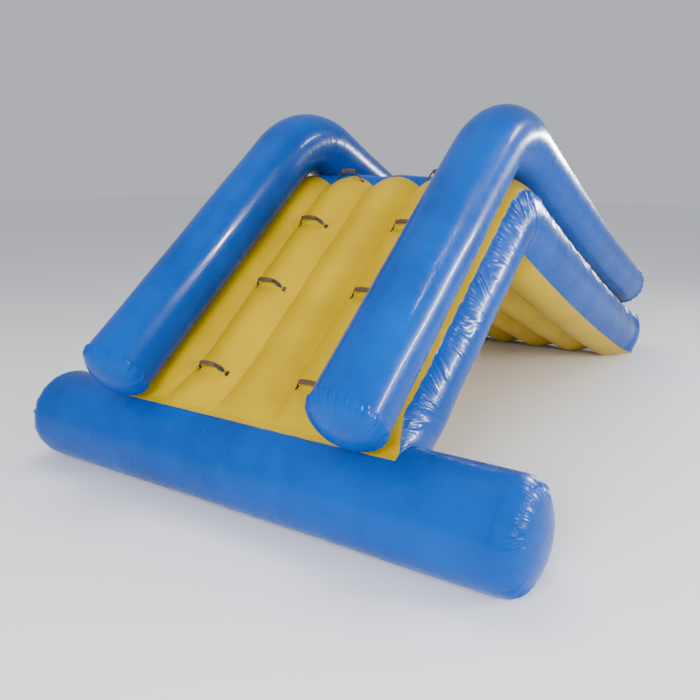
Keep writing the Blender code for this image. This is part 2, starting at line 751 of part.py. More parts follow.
def strap_stops():
    """Along the strap: place from the middle, height and half width."""
    end = grip_height(GRIP_HALF_LENGTH)
    half = []
    for reach, rise, width in zip(STRAP_REACH_SHARES, STRAP_RISE_SHARES, STRAP_WIDTH_SHARES):
        half.append((HANDLE_REACH * reach, end * rise, STRAP_HALF_WIDTH * width))
    for i in range(GRIP_STEPS // 2):
        x = GRIP_HALF_LENGTH * (1 - 2 * i / GRIP_STEPS)
        half.append((x, grip_height(x), STRAP_HALF_WIDTH))
    return [(-x, z, w) for x, z, w in half] + [(0, grip_height(0), STRAP_HALF_WIDTH)] + half[::-1]


def add_strap(bm):
    stops = strap_stops()
    last = len(stops) - 1
    rings = []
    for i, (x, z, half) in enumerate(stops):
        before, after = stops[max(i - 1, 0)], stops[min(i + 1, last)]
        ahead = Vector((after[0] - before[0], 0, after[1] - before[1])).normalized()
        if i in (0, last):
            ahead = Vector((1, 0, 0))
        up = Vector((-ahead.z, 0, ahead.x)) * STRAP_THICKNESS / 2
        side = Vector((0, half, 0))
        centre = Vector((x, 0, z))
        rings.append([centre - side - up, centre + side - up, centre + side + up, centre - side + up])
    add_loft(bm, rings)


def add_grip(bm):
    """A tube round the middle of the strap, arched like it."""
    grids = []
    for radius in (GRIP_RADIUS, GRIP_BORE):
        rows = []
        for i in range(GRIP_STEPS + 1):
            x = GRIP_HALF_LENGTH * (2 * i / GRIP_STEPS - 1)
            ahead = Vector((1, 0, -2 * GRIP_ARCH * x / GRIP_HALF_LENGTH ** 2)).normalized()
            up = Vector((-ahead.z, 0, ahead.x))
            ring = []
            for k in range(GRIP_SIDES):
                turn = math.tau * (k + 0.5) / GRIP_SIDES
                arm = Vector((0, math.cos(turn), 0)) + math.sin(turn) * up
                ring.append(Vector((x, 0, grip_height(x))) + radius * arm)
            rows.append(ring)
        grids.append(rows)
    add_grid_shell(bm, *grids, around=True)


def add_base(bm, crown):
    """A strip glued over the channel's top, with a lug on each end that the strap swings from."""
    lug = HANDLE_REACH + SEAM_GAP
    half = [BASE_HALF_LENGTH, lug + LUG_LENGTH, lug, 0]
    widths = [BASE_HALF_WIDTH * share for share in BASE_WIDTH_SHARES]
    stops = [(-x, w) for x, w in zip(half, widths)]
    stops += [(-x, w) for x, w in stops[-2::-1]]
    lug_width = STRAP_HALF_WIDTH * STRAP_WIDTH_SHARES[0]
    grids = []
    for depth in (0, BASE_THICKNESS):
        rows = []
        for x, width in stops:
            z = base_height(crown, x) - axis_height(crown) - depth
            rows.append([Vector((x, y, z)) for y in (-width, -lug_width, lug_width, width)])
        grids.append(rows)
    add_grid_shell(bm, *grids)
    bm.faces.ensure_lookup_table()
    for side in (-1, 1):
        spots = [f for f in bm.faces if is_lug_spot(f, crown, side)]
        raised = bmesh.ops.extrude_face_region(bm, geom=spots)["geom"]
        bmesh.ops.delete(bm, geom=spots, context="FACES_ONLY")
        for item in raised:
            if isinstance(item, bmesh.types.BMVert):
                item.co.z = LUG_HALF_HEIGHT


def is_lug_spot(face, crown, side):
    """Whether a face is one of the two on the base's upper side that a lug stands on."""
    inner = HANDLE_REACH + SEAM_GAP
    outer = inner + LUG_LENGTH
    half_width = STRAP_HALF_WIDTH * STRAP_WIDTH_SHARES[0]
    slack = SEAM_GAP / 2
    lowest = base_height(crown, outer) - axis_height(crown) - BASE_THICKNESS / 2
    for v in face.verts:
        x, y, z = side * v.co.x, abs(v.co.y), v.co.z
        if x < inner - slack or x > outer + slack or y > half_width + slack or z < lowest:
            return False
    return True


def make_handles(black, brown, yellow):
    for row, (station, crown) in handle_rows().items():
        for channel, word in zip(HANDLE_CHANNELS, ("left", "right")):
            frame = handle_frame(station, crown, (channel - (CHANNEL_COUNT - 1) / 2) * CHANNEL_PITCH)
            base = bmesh.new()
            add_base(base, crown)
            finish_object(f"handle_{row}_{word}_base", base, yellow, frame)
            strap = bmesh.new()
            add_strap(strap)
            finish_object(f"handle_{row}_{word}_strap", strap, black, frame)
            grip = bmesh.new()
            add_grip(grip)
            finish_object(f"handle_{row}_{word}_grip", grip, brown, frame)


# Inflation valves

def valve_frames():
    """Places of the four valves, on the sheets' outer faces, with z pointing out."""
    frames = {"mat": tail_frame()}
    frames["float"] = float_end_frame(-1) @ Matrix.Translation((0, 0, FLOAT_DOME_DEPTH))
    station = rail_stations()[-1]
    for side, word in ((-1, "rail_left"), (1, "rail_right")):
        frame = rail_end_frame(station, side * RAIL_OFFSET, 1)
        frames[word] = frame @ Matrix.Translation((0, 0, RAIL_DOME_DEPTH))
    return frames


def add_body(bm):
    """A flange that is glued to the sheet and a neck through it, with a floor near its inner end."""
    low, face, top = SEAM_GAP, SEAM_GAP + FLANGE_THICKNESS, SEAM_GAP + COLLAR_HEIGHT
    floor = FLOOR_THICKNESS - NECK_LENGTH
    profile = [(NECK_RADIUS, low), (FLANGE_RADIUS, low), (FLANGE_RADIUS, face), (COLLAR_RADIUS, top),
               (BORE_RADIUS, top), (BORE_RADIUS, floor), (STEM_HOLE_RADIUS, floor),
               (STEM_HOLE_RADIUS, -NECK_LENGTH), (NECK_RADIUS, -NECK_LENGTH)]
    add_turned(bm, Matrix.Identity(4), profile, VALVE_SIDES, closed=True)


def add_air_holes(bm):
    for i in range(AIR_HOLE_COUNT):
        turn = math.tau * i / AIR_HOLE_COUNT
        x, y = AIR_HOLE_CIRCLE * math.cos(turn), AIR_HOLE_CIRCLE * math.sin(turn)
        place = Matrix.Translation((x, y, FLOOR_THICKNESS / 2 - NECK_LENGTH))
        profile = [(0, -FLOOR_THICKNESS), (AIR_HOLE_RADIUS, -FLOOR_THICKNESS),
                   (AIR_HOLE_RADIUS, FLOOR_THICKNESS), (0, FLOOR_THICKNESS)]
        add_turned(bm, place, profile, AIR_HOLE_SIDES)


def add_flap(bm):
    """A rubber disc under the floor's holes, held by its stem and the button at the stem's end."""
    seat = -NECK_LENGTH - SEAM_GAP
    button = FLOOR_THICKNESS - NECK_LENGTH + SEAM_GAP
    profile = [(0, button + FLAP_BUTTON_HEIGHT), (FLAP_BUTTON_RADIUS, button + FLAP_BUTTON_HEIGHT),
               (FLAP_BUTTON_RADIUS, button), (FLAP_STEM_RADIUS, button), (FLAP_STEM_RADIUS, seat),
               (FLAP_RADIUS, seat), (FLAP_RADIUS, seat - FLAP_THICKNESS), (0, seat - FLAP_THICKNESS)]
    add_turned(bm, Matrix.Identity(4), profile, VALVE_SIDES)


def add_cap(bm):
    low = COLLAR_HEIGHT + 2 * SEAM_GAP
    high = low + CAP_HEIGHT
    edge = CAP_HEIGHT / 4
    profile = [(0, high), (CAP_RADIUS - edge, high), (CAP_RADIUS, high - edge), (CAP_RADIUS, low),
               (SPIGOT_RADIUS, low), (SPIGOT_RADIUS, low - SPIGOT_LENGTH), (0, low - SPIGOT_LENGTH)]
    add_turned(bm, Matrix.Identity(4), profile, VALVE_SIDES)


def add_cap_rib(bm):
    low = COLLAR_HEIGHT + 2 * SEAM_GAP + CAP_HEIGHT / 2
    high = low + CAP_HEIGHT / 2 + CAP_RIB_HEIGHT
    x, y = CAP_RIB_LENGTH / 2, CAP_RIB_WIDTH / 2
    outline = [(-x, -y), (x, -y), (x, y), (-x, y)]
    add_loft(bm, [[Vector((a, b, z)) for a, b in outline] for z in (low, high)])


def make_valves(grey, rubber):
    for word, frame in valve_frames().items():
        made = {}
        pieces = (("body", add_body, grey), ("air_holes_cutter", add_air_holes, grey),
                  ("flap", add_flap, rubber), ("cap", add_cap, grey), ("cap_rib_tool", add_cap_rib, grey))
        for piece, build, look in pieces:
            bm = bmesh.new()
            build(bm)
            made[piece] = finish_object(f"valve_{word}_{piece}", bm, look, frame)
        cut_with(made["body"], "air holes", "DIFFERENCE", made["air_holes_cutter"])
        cut_with(made["cap"], "finger rib", "UNION", made["cap_rib_tool"])


def main():
    clear_scene()
    blue = surface("blue coated fabric", BLUE, 0.22)
    yellow = surface("yellow coated fabric", YELLOW, 0.26)
    white = surface("white web fabric", WEB_WHITE, 0.55)
    black = surface("black webbing", STRAP_BLACK, 0.75)
    brown = surface("grip tube", GRIP_BROWN, 0.45)
    grey = surface("valve plastic", VALVE_GREY, 0.40)
    rubber = surface("valve rubber", FLAP_RUBBER, 0.60)
    make_float(blue)
    make_mat_skins(yellow)
    make_side_walls(blue)
    make_foot_wall(yellow)
    make_tail_wall(blue)
    make_webs(white)
    make_slide_sheet(blue)
    make_rails(blue)
    make_handles(black, brown, yellow)
    make_valves(grey, rubber)


main()
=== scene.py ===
# %% [markdown]
# # Inflatable water slide: the finished look
#
# The CAD model in the frame gives every part's name, place and joint. Its soft parts are faceted there.
# This lesson sews a finished piece over each of them: swollen sheets, puckered walls, round tubes, handles
# and valves. All lengths are in metres. +X goes to the right of a climber, +Y from the float over the
# crest to the slide's end, and +Z up.

# %% The frame that everything is built on
import json
import math

import bmesh
import bpy
import numpy as np
from mathutils import Matrix, Vector
from mathutils.bvhtree import BVHTree


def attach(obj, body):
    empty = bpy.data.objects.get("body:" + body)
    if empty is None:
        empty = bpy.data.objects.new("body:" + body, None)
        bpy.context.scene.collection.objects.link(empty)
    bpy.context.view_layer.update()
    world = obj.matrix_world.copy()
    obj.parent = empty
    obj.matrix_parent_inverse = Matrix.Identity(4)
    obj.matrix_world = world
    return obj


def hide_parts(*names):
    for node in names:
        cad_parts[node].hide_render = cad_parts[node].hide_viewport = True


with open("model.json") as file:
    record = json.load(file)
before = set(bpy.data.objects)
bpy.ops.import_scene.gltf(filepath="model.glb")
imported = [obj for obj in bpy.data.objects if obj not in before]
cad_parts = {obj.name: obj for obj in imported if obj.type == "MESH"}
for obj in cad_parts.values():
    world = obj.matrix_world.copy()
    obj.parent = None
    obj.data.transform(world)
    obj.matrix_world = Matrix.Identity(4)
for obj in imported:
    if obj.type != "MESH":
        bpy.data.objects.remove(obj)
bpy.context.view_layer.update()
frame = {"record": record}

# %% [markdown]
# The sizes are those of the CAD source, so that each finished piece lies on its node. Only the last lines,
# from CLIMB_CROWN on, differ from it: they were read from the photograph.
# %% Sizes, in metres and radians
SHEET, GAP = 0.0009, 0.0003
FLOAT_RADIUS, FLOAT_HALF, FLOAT_DOME, FLOAT_SIDES = 0.285, 1.55, 0.17, 28
PITCH, CHANNELS, CROWN = 0.364, 5, 0.085
HALF_WIDTH = PITCH * CHANNELS / 2
UNDER, UPPER, DEPTH = 0.020, 0.422, 0.402      # lower and upper seams, and the way between them
CLIMB, SLIDE_TOP, SLIDE_TAIL = (math.radians(a) for a in (38.1, 25.4, 19.5))
SLIDE_LENGTH, SEAT_HEIGHT = 3.48, 0.227
BEND = (SLIDE_TOP - SLIDE_TAIL) / SLIDE_LENGTH
AXIS_Z = FLOAT_RADIUS * math.cos(math.pi / FLOAT_SIDES)
TAIL_SHARE = 0.35
CREST_Z = ((math.cos(SLIDE_TAIL) - math.cos(SLIDE_TOP)) / BEND
           - (UNDER - CROWN * TAIL_SHARE) * math.cos(SLIDE_TAIL) + (GAP + SHEET) * math.sin(SLIDE_TAIL))
CREST_Y = (UPPER + (CREST_Z - AXIS_Z) * math.cos(CLIMB) - SEAT_HEIGHT) / math.sin(CLIMB)
APRON, LANDING = math.radians(112.3), math.radians(104.0)
LANDING_START, LOW_HANDLE, RUNOUT, UNDER_FADE, TAIL_FADE = 1.40, 1.60, 0.132, 0.30, 0.24
FOOT_SPREAD, TAIL_SPREAD, SIDE_BULGE, TAIL_BULGE = 0.090, 0.045, 0.095, 0.045
RAIL_RADIUS, RAIL_X, RAIL_SEAT, RAIL_BEND, RAIL_FOOT, RAIL_DOME = 0.209, 0.792, 0.7051, 0.55, 1.828, 0.13
SLICK_HALF, SLICK_TAIL_ROOM = 0.690, 0.05
RUNOUT_SHARE, LOW_SHARE, LEVEL = 0.60, 0.73, 0.03    # of the crown, and how far it is level by the low handles
NECK = 0.0205 + 0.0012    # hole in a sheet for a valve's socket
SIDES = ((-1, "left"), (1, "right"))
CLIMB_CROWN = 0.94        # the climbing side is blown up a little less hard than the sliding side
DRAW_IN = 0.24            # the mat's edges draw in over this length above the float
RAIL_LEAN = 0.018         # the feet of the rails stand this much further out, and their bends further in
FLOAT_WELD, RAIL_WELD = 0.86, 0.985    # radius of the weld on a domed end, as a share of its tube's


# %% [markdown]
# A slide like this is drawn in side view first. The upper and lower lines run along the seams of the
# mat, from the float to the tail. Each place on a line is known by its distance along that line, and
# points are raised from the line by an offset.

# %% Side view
def climb_place(below, offset):
    return (CREST_Y - below * math.cos(CLIMB) - offset * math.sin(CLIMB),
            CREST_Z - below * math.sin(CLIMB) + offset * math.cos(CLIMB))


def crest_place(share, offset):
    tilt = -CLIMB + share * (CLIMB + SLIDE_TOP)
    return CREST_Y + offset * math.sin(tilt), CREST_Z + offset * math.cos(tilt)


def slide_place(below, offset):
    tilt = SLIDE_TOP - BEND * below
    return (CREST_Y + (math.sin(SLIDE_TOP) - math.sin(tilt)) / BEND + offset * math.sin(tilt),
            CREST_Z + (math.cos(SLIDE_TOP) - math.cos(tilt)) / BEND + offset * math.cos(tilt))


def float_place(angle, radius):
    return radius * np.cos(angle), AXIS_Z + radius * np.sin(angle)


class SideLine:
    """A smooth line in side view. Places on it go by the distance along the line as it was drawn."""

    def __init__(self, parts, blur=0.012, step=0.002):
        points = [p for part in parts for p in part]
        gaps = np.hypot(*np.diff(np.array(points), axis=0).T)
        far = np.concatenate([[0], np.cumsum(gaps)])
        counts = np.cumsum([len(part) for part in parts])
        self.marks = [0.0] + [float(far[c - 1]) for c in counts]
        self.t = np.linspace(0, far[-1], int(far[-1] / step) + 1)
        self.y, self.z = (self.soften(np.interp(self.t, far, np.array(points)[:, i]), blur / step)
                          for i in (0, 1))
        self.tilt = -np.unwrap(np.arctan2(np.gradient(self.z), np.gradient(self.y)))

    @staticmethod
    def soften(values, sigma):
        reach = int(4 * sigma)
        kernel = np.exp(-0.5 * (np.arange(-reach, reach + 1) / sigma) ** 2)
        before, after = 2 * values[0] - values[reach:0:-1], 2 * values[-1] - values[-2:-reach - 2:-1]
        return np.convolve(np.concatenate([before, values, after]), kernel / kernel.sum(), "valid")

    def at(self, t, offset):
        tilt = np.interp(t, self.t, self.tilt)
        return (np.interp(t, self.t, self.y) + offset * np.sin(tilt),
                np.interp(t, self.t, self.z) + offset * np.cos(tilt))


FOOT_RADIUS = FLOAT_RADIUS * 1.0055 + GAP      # the mat's foot goes round the float at this radius
level = CREST_Y * math.cos(CLIMB) + (CREST_Z - AXIS_Z) * math.sin(CLIMB)
FOOT = level - math.sqrt(FOOT_RADIUS ** 2 - (SEAT_HEIGHT - DEPTH) ** 2)
hem = [float_place(a, FLOAT_RADIUS + 0.0025) for a in np.linspace(APRON, LANDING, 12)]
crest = [crest_place(s, UPPER) for s in np.linspace(0, 1, 40)[1:]]
down = np.linspace(0, SLIDE_LENGTH, 90)[1:]
upper = SideLine([hem, [climb_place(LANDING_START, UPPER)], [climb_place(0.0, UPPER)], crest,
                  [slide_place(d, UPPER) for d in down]])
T_TOUCH, T_PLANE, T_CREST, T_OVER, T_TAIL = upper.marks[1:]
T_FOLD = (T_CREST + T_OVER) / 2
lower = SideLine([[climb_place(d, UNDER)] for d in (FOOT, FOOT - RUNOUT, UNDER_FADE, 0)]
                 + [[crest_place(0.5, UNDER), slide_place(0, UNDER)], [slide_place(d, UNDER) for d in down]])
B_RUNOUT, B_FADE, B_CREST, B_OVER, B_TAIL = lower.marks[2:]
B_FOLD = (B_CREST + B_OVER) / 2
print("side view: upper line", round(T_TAIL, 3), "m, lower line", round(B_TAIL, 3), "m")


def slide_t(below):
    """Distance along the upper line of a place on the sliding side."""
    return T_OVER + (T_TAIL - T_OVER) * below / SLIDE_LENGTH


T_FADE = slide_t(SLIDE_LENGTH - TAIL_FADE)

# %% [markdown]
# Air pulls flat fabric into round shapes, and the spare cloth at each seam gathers into puckers.
# `pleats` draws such puckers: rounded ridges with sharp creases between them, which start at a seam and
# fade. `ripple` adds the slow unevenness of a large sheet. Both give heights for a grid of points.

# %% Wrinkles
def ripple(points, length, seed, waves=9):
    """Gentle waves of about one length in all directions, between -1 and 1."""
    rng = np.random.default_rng(seed)
    total = np.zeros(points.shape[:-1])
    for _ in range(waves):
        way = rng.normal(size=3)
        way *= math.tau / length * rng.uniform(0.6, 1.4) / np.linalg.norm(way)
        total += np.sin(points @ way + rng.uniform(0, math.tau))
    return total / math.sqrt(waves)


def bell(off, width):
    """A smooth bump of height 1 round 0."""
    return np.exp(-(off / width) ** 2)


def arch(share):
    """Rises from 0 to 1 and falls back to 0."""
    return 4 * share * (1 - share)


def clumps(along, length, seed):
    """Between 0 and 1 and back at irregular distances."""
    rng = np.random.default_rng(seed)
    total = sum(np.sin(math.tau * along / (length * rng.uniform(0.5, 2.0)) + rng.uniform(0, math.tau))
                for _ in range(5))
    return np.clip(0.55 + total / 4.5, 0, 1)


def pleats(along, away, seed, width, height, reach, start=0.006, lean=0.25, even=0.25):
    """Rounded ridges with sharp creases between them, which run away from a seam and fade out."""
    rng = np.random.default_rng(seed)
    low, span = along.min() - 0.2, np.ptp(along) + 0.4
    edges = low + np.cumsum(rng.uniform(*width, int(span / width[0]) + 3))
    tall = height * rng.uniform(0.1, 1.0, len(edges)) ** 1.3
    far = rng.uniform(*reach, len(edges))
    slope = lean * (2 * clumps(along, 0.35, seed + 1) - 1)
    place = along + slope * away
    k = np.clip(np.searchsorted(edges, place) - 1, 0, len(edges) - 2)
    share = np.clip((place - edges[k]) / (edges[k + 1] - edges[k]), 0, 1)
    ridge = np.sin(math.pi * share) ** 0.75
    fade = (1 - bell(away, start)) * np.exp(-(away / far[k]) ** 1.6)
    return tall[k] * ridge * fade * (even + (1 - even) * clumps(along, 0.5, seed + 2))


def seam_wave(t, seed=40):
    """Small waves of the weld between an upper sheet and a side wall: upwards and outwards."""
    rng = np.random.default_rng(seed)
    waves = [sum(np.sin(math.tau * t / rng.uniform(0.07, 0.24) + rng.uniform(0, math.tau)) for _ in range(4))
             for _ in range(2)]
    return 0.0007 * waves[0], 0.0010 * waves[1]


def ways_out(points, around=False):
    """Unit normals of a grid of points, before it is known which side is out."""
    if around:
        wide = np.concatenate([points[:, -2:], points, points[:, :2]], axis=1)
        down, across = np.gradient(wide, axis=0)[:, 2:-2], np.gradient(wide, axis=1)[:, 2:-2]
    else:
        down, across = np.gradient(points, axis=0), np.gradient(points, axis=1)
    normal = np.cross(down, across)
    return normal / np.maximum(np.linalg.norm(normal, axis=-1, keepdims=True), 1e-12)


def raised(points, field, outward, around=False):
    """The grid moved along its normals by a field of heights; outward tells which way is up."""
    normal = ways_out(points, around)
    sign = np.sign(np.sum(normal * outward))
    return points + sign * normal * field[..., None]


# %% [markdown]
# Every piece of fabric starts as a grid of points. It becomes a mesh, gets the real sheet's thickness
# of 0.9 mm, and is kept as a plain mesh. Rims stay sharp, so that no false light runs along them.

# %% Meshes from grids
def stacked(*parts):
    """Numbers for x, y and z, or for u and v, spread over one grid as points."""
    return np.stack(np.broadcast_arrays(*parts), axis=-1)


def turns(sides):
    """Angles round a tube."""
    return np.linspace(0, math.tau, sides, endpoint=False)


def numbered(points):
    """The grid of the points' numbers."""
    rows, columns = points.shape[:2]
    return np.arange(rows * columns).reshape(rows, columns)


def wrapped(grid, last=None):
    """A grid that goes round once more to its first column, or to one given for that."""
    return np.concatenate([grid, grid[:, :1] if last is None else last], axis=1)


def quads(grid, order=(0, 1, 2, 3)):
    """What a grid holds at the four corners of each face, taken in this order."""
    corners = grid[:-1, :-1], grid[:-1, 1:], grid[1:, 1:], grid[1:, :-1]
    return np.stack([corners[i] for i in order], axis=2).reshape(-1, 4, *grid.shape[2:])


def new_mesh(name, points, faces, edges=()):
    mesh = bpy.data.meshes.new(name)
    mesh.from_pydata(np.reshape(points, (-1, 3)).tolist(), edges, faces)
    return mesh


def linked(name, data, material=None):
    """A new object of the scene that holds a mesh, a light or a camera."""
    obj = bpy.data.objects.new(name, data)
    bpy.context.scene.collection.objects.link(obj)
    if material:
        data.materials.append(material)
    return obj


def mended(mesh, merge=0.0, outwards=False):
    """Merge the doubled points of a mesh, and turn its faces outwards."""
    bm = bmesh.new()
    bm.from_mesh(mesh)
    if merge:
        bmesh.ops.remove_doubles(bm, verts=bm.verts[:], dist=merge)
    if outwards:
        bmesh.ops.recalc_face_normals(bm, faces=bm.faces[:])
    bm.to_mesh(mesh)
    bm.free()


def bake(obj):
    """Apply the modifiers, so that the piece is a plain mesh."""
    made = bpy.data.meshes.new_from_object(obj.evaluated_get(bpy.context.evaluated_depsgraph_get()))
    old = obj.data
    obj.modifiers.clear()
    obj.data = made
    made.name = obj.name
    bpy.data.meshes.remove(old)


def smooth(obj):
    """Smooth shading, but for the rims."""
    obj.data.shade_smooth()
    obj.data.set_sharp_from_angle(angle=math.radians(65))


def grid_mesh(name, points, outward, material, uv, around=False, thick=SHEET, merge=0.0):
    """A thin closed sheet whose outer face is a grid of points, kept above the floor."""
    order = (0, 3, 2, 1) if np.sum(ways_out(points, around) * outward) > 0 else (0, 1, 2, 3)
    points = stacked(points[..., 0], points[..., 1], np.maximum(points[..., 2], 0.0))
    index, flat = numbered(points), stacked(*uv)
    if around:
        index, flat = wrapped(index), wrapped(flat, 2 * flat[:, -1:] - flat[:, -2:-1])
    mesh = new_mesh(name, points, quads(index, order).tolist())
    corners = quads(flat, order).reshape(-1).astype(np.float32)
    mesh.uv_layers.new(name="UVMap").data.foreach_set("uv", corners)
    obj = linked(name, mesh, material)
    if merge:
        mended(mesh, merge)
    shell = obj.modifiers.new("thickness", "SOLIDIFY")
    shell.thickness, shell.offset = thick, -1
    bake(obj)
    smooth(obj)
    return obj


def dress(obj, node, body="slide"):
    """Hang a piece on the body that it rides on, and hide the CAD part of the node that it stands for."""
    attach(obj, body)
    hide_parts(node)


# %% [markdown]
# PVC-coated polyester is a woven scrim in soft plastic. The eye sees a clean colour, small sharp lights
# on folds, a wavy gloss, and close up the threads below the coat.

# %% Materials
def linear(code, share=1.0):
    """Linear colour of an sRGB hex code, or a share of it."""
    parts = [int(code[i:i + 2], 16) / 255 for i in (0, 2, 4)]
    return tuple(share * (p / 12.92 if p <= 0.04045 else ((p + 0.055) / 1.055) ** 2.4) for p in parts) + (1.0,)


def add(tree, node, settings=None, links=None):
    """A node of this kind, or one that is there, with its settings and with links into its inputs.

    A link comes from a socket, or from the first output of a node.
    """
    node = tree.nodes.new(node) if isinstance(node, str) else node
    for name, value in (settings or {}).items():
        if name == "stops":
            elements = node.color_ramp.elements
            for i, (place, colour) in enumerate(value):
                stop = elements[i] if i < 2 else elements.new(place)
                stop.position, stop.color = place, colour
        elif isinstance(name, int) or name in node.inputs:
            node.inputs[name].default_value = value
        else:
            setattr(node, name, value)
    for name, source in (links or {}).items():
        tree.links.new(getattr(source, "outputs", [source])[0], node.inputs[name])
    return node


def new_material(name):
    """A material, its nodes, its shader, and the coordinates that its patterns read."""
    material = bpy.data.materials.new(name)
    material.use_nodes = True
    tree = material.node_tree
    return material, tree, tree.nodes["Principled BSDF"], add(tree, "ShaderNodeTexCoord").outputs


def coated_fabric(name, deep, main, light, rough=0.27):
    """Woven scrim coated with soft PVC: clouded colour, faint thread relief, wavy gloss."""
    material, tree, shader, place = new_material(name)
    clouds = add(tree, "ShaderNodeTexNoise", {"Scale": 2.3, "Detail": 3.0, "Roughness": 0.55},
                 {"Vector": place["Object"]})
    stops = [(0.30, linear(deep)), (0.72, linear(light)), (0.5, linear(main))]
    shades = add(tree, "ShaderNodeValToRGB", {"stops": stops}, {"Fac": clouds})
    patches = add(tree, "ShaderNodeTexNoise", {"Scale": 9.0, "Detail": 4.0}, {"Vector": place["Object"]})
    gloss = add(tree, "ShaderNodeMapRange", {"From Min": 0.3, "From Max": 0.7, "To Min": rough - 0.04,
                                             "To Max": rough + 0.05}, {"Value": patches})
    # Threads of the scrim: one every 2 mm here. Real ones lie 1 mm apart, too fine to be seen in a picture.
    threads = [add(tree, "ShaderNodeTexWave", {"bands_direction": way, "Scale": 160.0, "Distortion": 0.4},
                   {"Vector": place["UV"]}).outputs["Fac"] for way in "XY"]
    weave = add(tree, "ShaderNodeMath", {"operation": "MAXIMUM"}, {0: threads[0], 1: threads[1]})
    dents = add(tree, "ShaderNodeTexNoise", {"Scale": 14.0, "Detail": 2.0}, {"Vector": place["Object"]})
    relief = add(tree, "ShaderNodeBump", {"Strength": 0.25, "Distance": 0.002}, {"Height": dents})
    fine = add(tree, "ShaderNodeBump", {"Strength": 0.06, "Distance": 0.00010},
               {"Height": weave, "Normal": relief})
    add(tree, shader, {"Specular IOR Level": 0.08, "Coat Weight": 0.085, "Coat Roughness": 0.06},
        {"Base Color": shades, "Roughness": gloss, "Normal": fine})
    return material


# Blue PVC-coated polyester: one deep, saturated colour that slowly clouds, with sharp lights on each fold.
blue = coated_fabric("blue PVC-coated polyester", "003F8C", "00459A", "004CA5")
# Yellow PVC-coated polyester: warmer where folds face each other, and its lights are a little broader.
yellow = coated_fabric("yellow PVC-coated polyester", "B39200", "BB9A00", "C4A300", rough=0.33)
# White PVC-coated polyester of the webs: matt and pale, seen only where the mat is opened.
white = coated_fabric("white PVC-coated polyester", "D8DCE0", "E0E4E8", "E8ECF0", rough=0.5)
print("materials:", len(bpy.data.materials))

# %% [markdown]
# Five channels run along the mat. Between the webs each channel swells into a flat arch, less so where
# the mat lies on the float and at the tail.

# %% Upper and lower sheets of the mat
def columns_of(count):
    """Places across the mat, closest near the valleys, and the share from a channel's middle of each."""
    even = np.linspace(-1, 1, count)
    local = np.sign(even) * (1 - (1 - np.abs(even)) ** 1.35)
    shares = np.concatenate([local[:-1]] * (CHANNELS - 1) + [local])
    channel = np.minimum(np.arange(len(shares)) // (count - 1), CHANNELS - 1)
    return (channel - (CHANNELS - 1) / 2) * PITCH + shares * PITCH / 2, shares


def course(marks, values, sigma=0.012, least=-np.inf):
    """A function of the distance along a line: values at marks, with rounded corners between them."""
    fine = np.linspace(marks[0], marks[-1], 1500)
    soft = SideLine.soften(np.interp(fine, marks, values), sigma / (fine[1] - fine[0]))
    return lambda t: np.maximum(np.interp(t, fine, soft), least)


low_row = T_PLANE - (LOW_HANDLE - LANDING_START)
upper_crown = course(
    [0, T_TOUCH, T_TOUCH + RUNOUT, low_row - LEVEL, low_row + LEVEL, T_PLANE, T_FOLD, T_OVER, T_FADE, T_TAIL],
    [0, 0, *(share * CLIMB_CROWN for share in (RUNOUT_SHARE, LOW_SHARE, LOW_SHARE, 1, 1)), 1, 1, TAIL_SHARE],
    least=0)
upper_spread = course([0, T_TOUCH, T_TOUCH + DRAW_IN, T_FADE, T_TAIL],
                      [FOOT_SPREAD, FOOT_SPREAD, 0, 0, TAIL_SPREAD])
lower_crown = course([0, B_RUNOUT, B_FADE, B_CREST, B_OVER, B_OVER + UNDER_FADE, B_TAIL - TAIL_FADE, B_TAIL],
                     [0, 1, 1, 0, 0, 1, 1, TAIL_SHARE], least=0)
lower_spread = course([0, B_RUNOUT, B_TAIL - TAIL_FADE, B_TAIL], [FOOT_SPREAD, 0, 0, TAIL_SPREAD])
TOP_FACE, UNDER_FACE = (upper, upper_crown, upper_spread, 1), (lower, lower_crown, lower_spread, -1)


def swollen(face, t, x, u):
    """A sheet with channels. Its face is a side line, crown, spread, and 1 upwards or -1 downwards."""
    line, crown, spread, swell = face
    height = swell * CROWN * crown(t)[:, None] * (1 - u ** 2)[None, :]
    wide = x[None, :] * (1 + spread(t)[:, None] / HALF_WIDTH)
    if swell > 0:
        lift, shift = seam_wave(t)
        rim = bell(HALF_WIDTH - np.abs(x), 0.03)
        height = height + lift[:, None] * rim
        wide = wide + np.sign(x)[None, :] * shift[:, None] * rim
    return stacked(wide, *line.at(t[:, None], height))


def mat_sheet(name, node, face, start, end, rows, seed, hem=False):
    """One yellow sheet, with puckers along its valleys and, on the float, a wavy hem."""
    t = np.linspace(start, end, rows)
    x, u = columns_of(18)
    points = swollen(face, t, x, u)
    swell, along, valley = face[-1], t[:, None], (1 - np.abs(u)) * PITCH / 2
    field = np.zeros(points.shape[:2])
    for i in range(CHANNELS + 1):
        off = x - (i - CHANNELS / 2) * PITCH
        for side in (-1, 1):
            puckers = pleats(along, np.abs(off), seed + 10 * i + side, (0.022, 0.050), 0.0022, (0.02, 0.06))
            field += (np.sign(off) == side) * puckers
    field += 0.0012 * ripple(points, 0.55, seed)
    if hem:
        points[..., 1] -= 0.0022 * ripple(points * (1, 0, 0), 0.16, 41) * bell(along, 0.03)
    rim = np.minimum(1, np.minimum(valley / 0.012, np.minimum(along - t[0], t[-1] - along) / 0.02))
    points = raised(points, field * np.clip(rim, 0, 1) * np.clip(face[1](t), 0, 1)[:, None], (0, 0, swell))
    piece = grid_mesh(name, points, (0, 0, swell), yellow, (along, x))
    dress(piece, node)
    print(name, len(piece.data.polygons))
    return piece


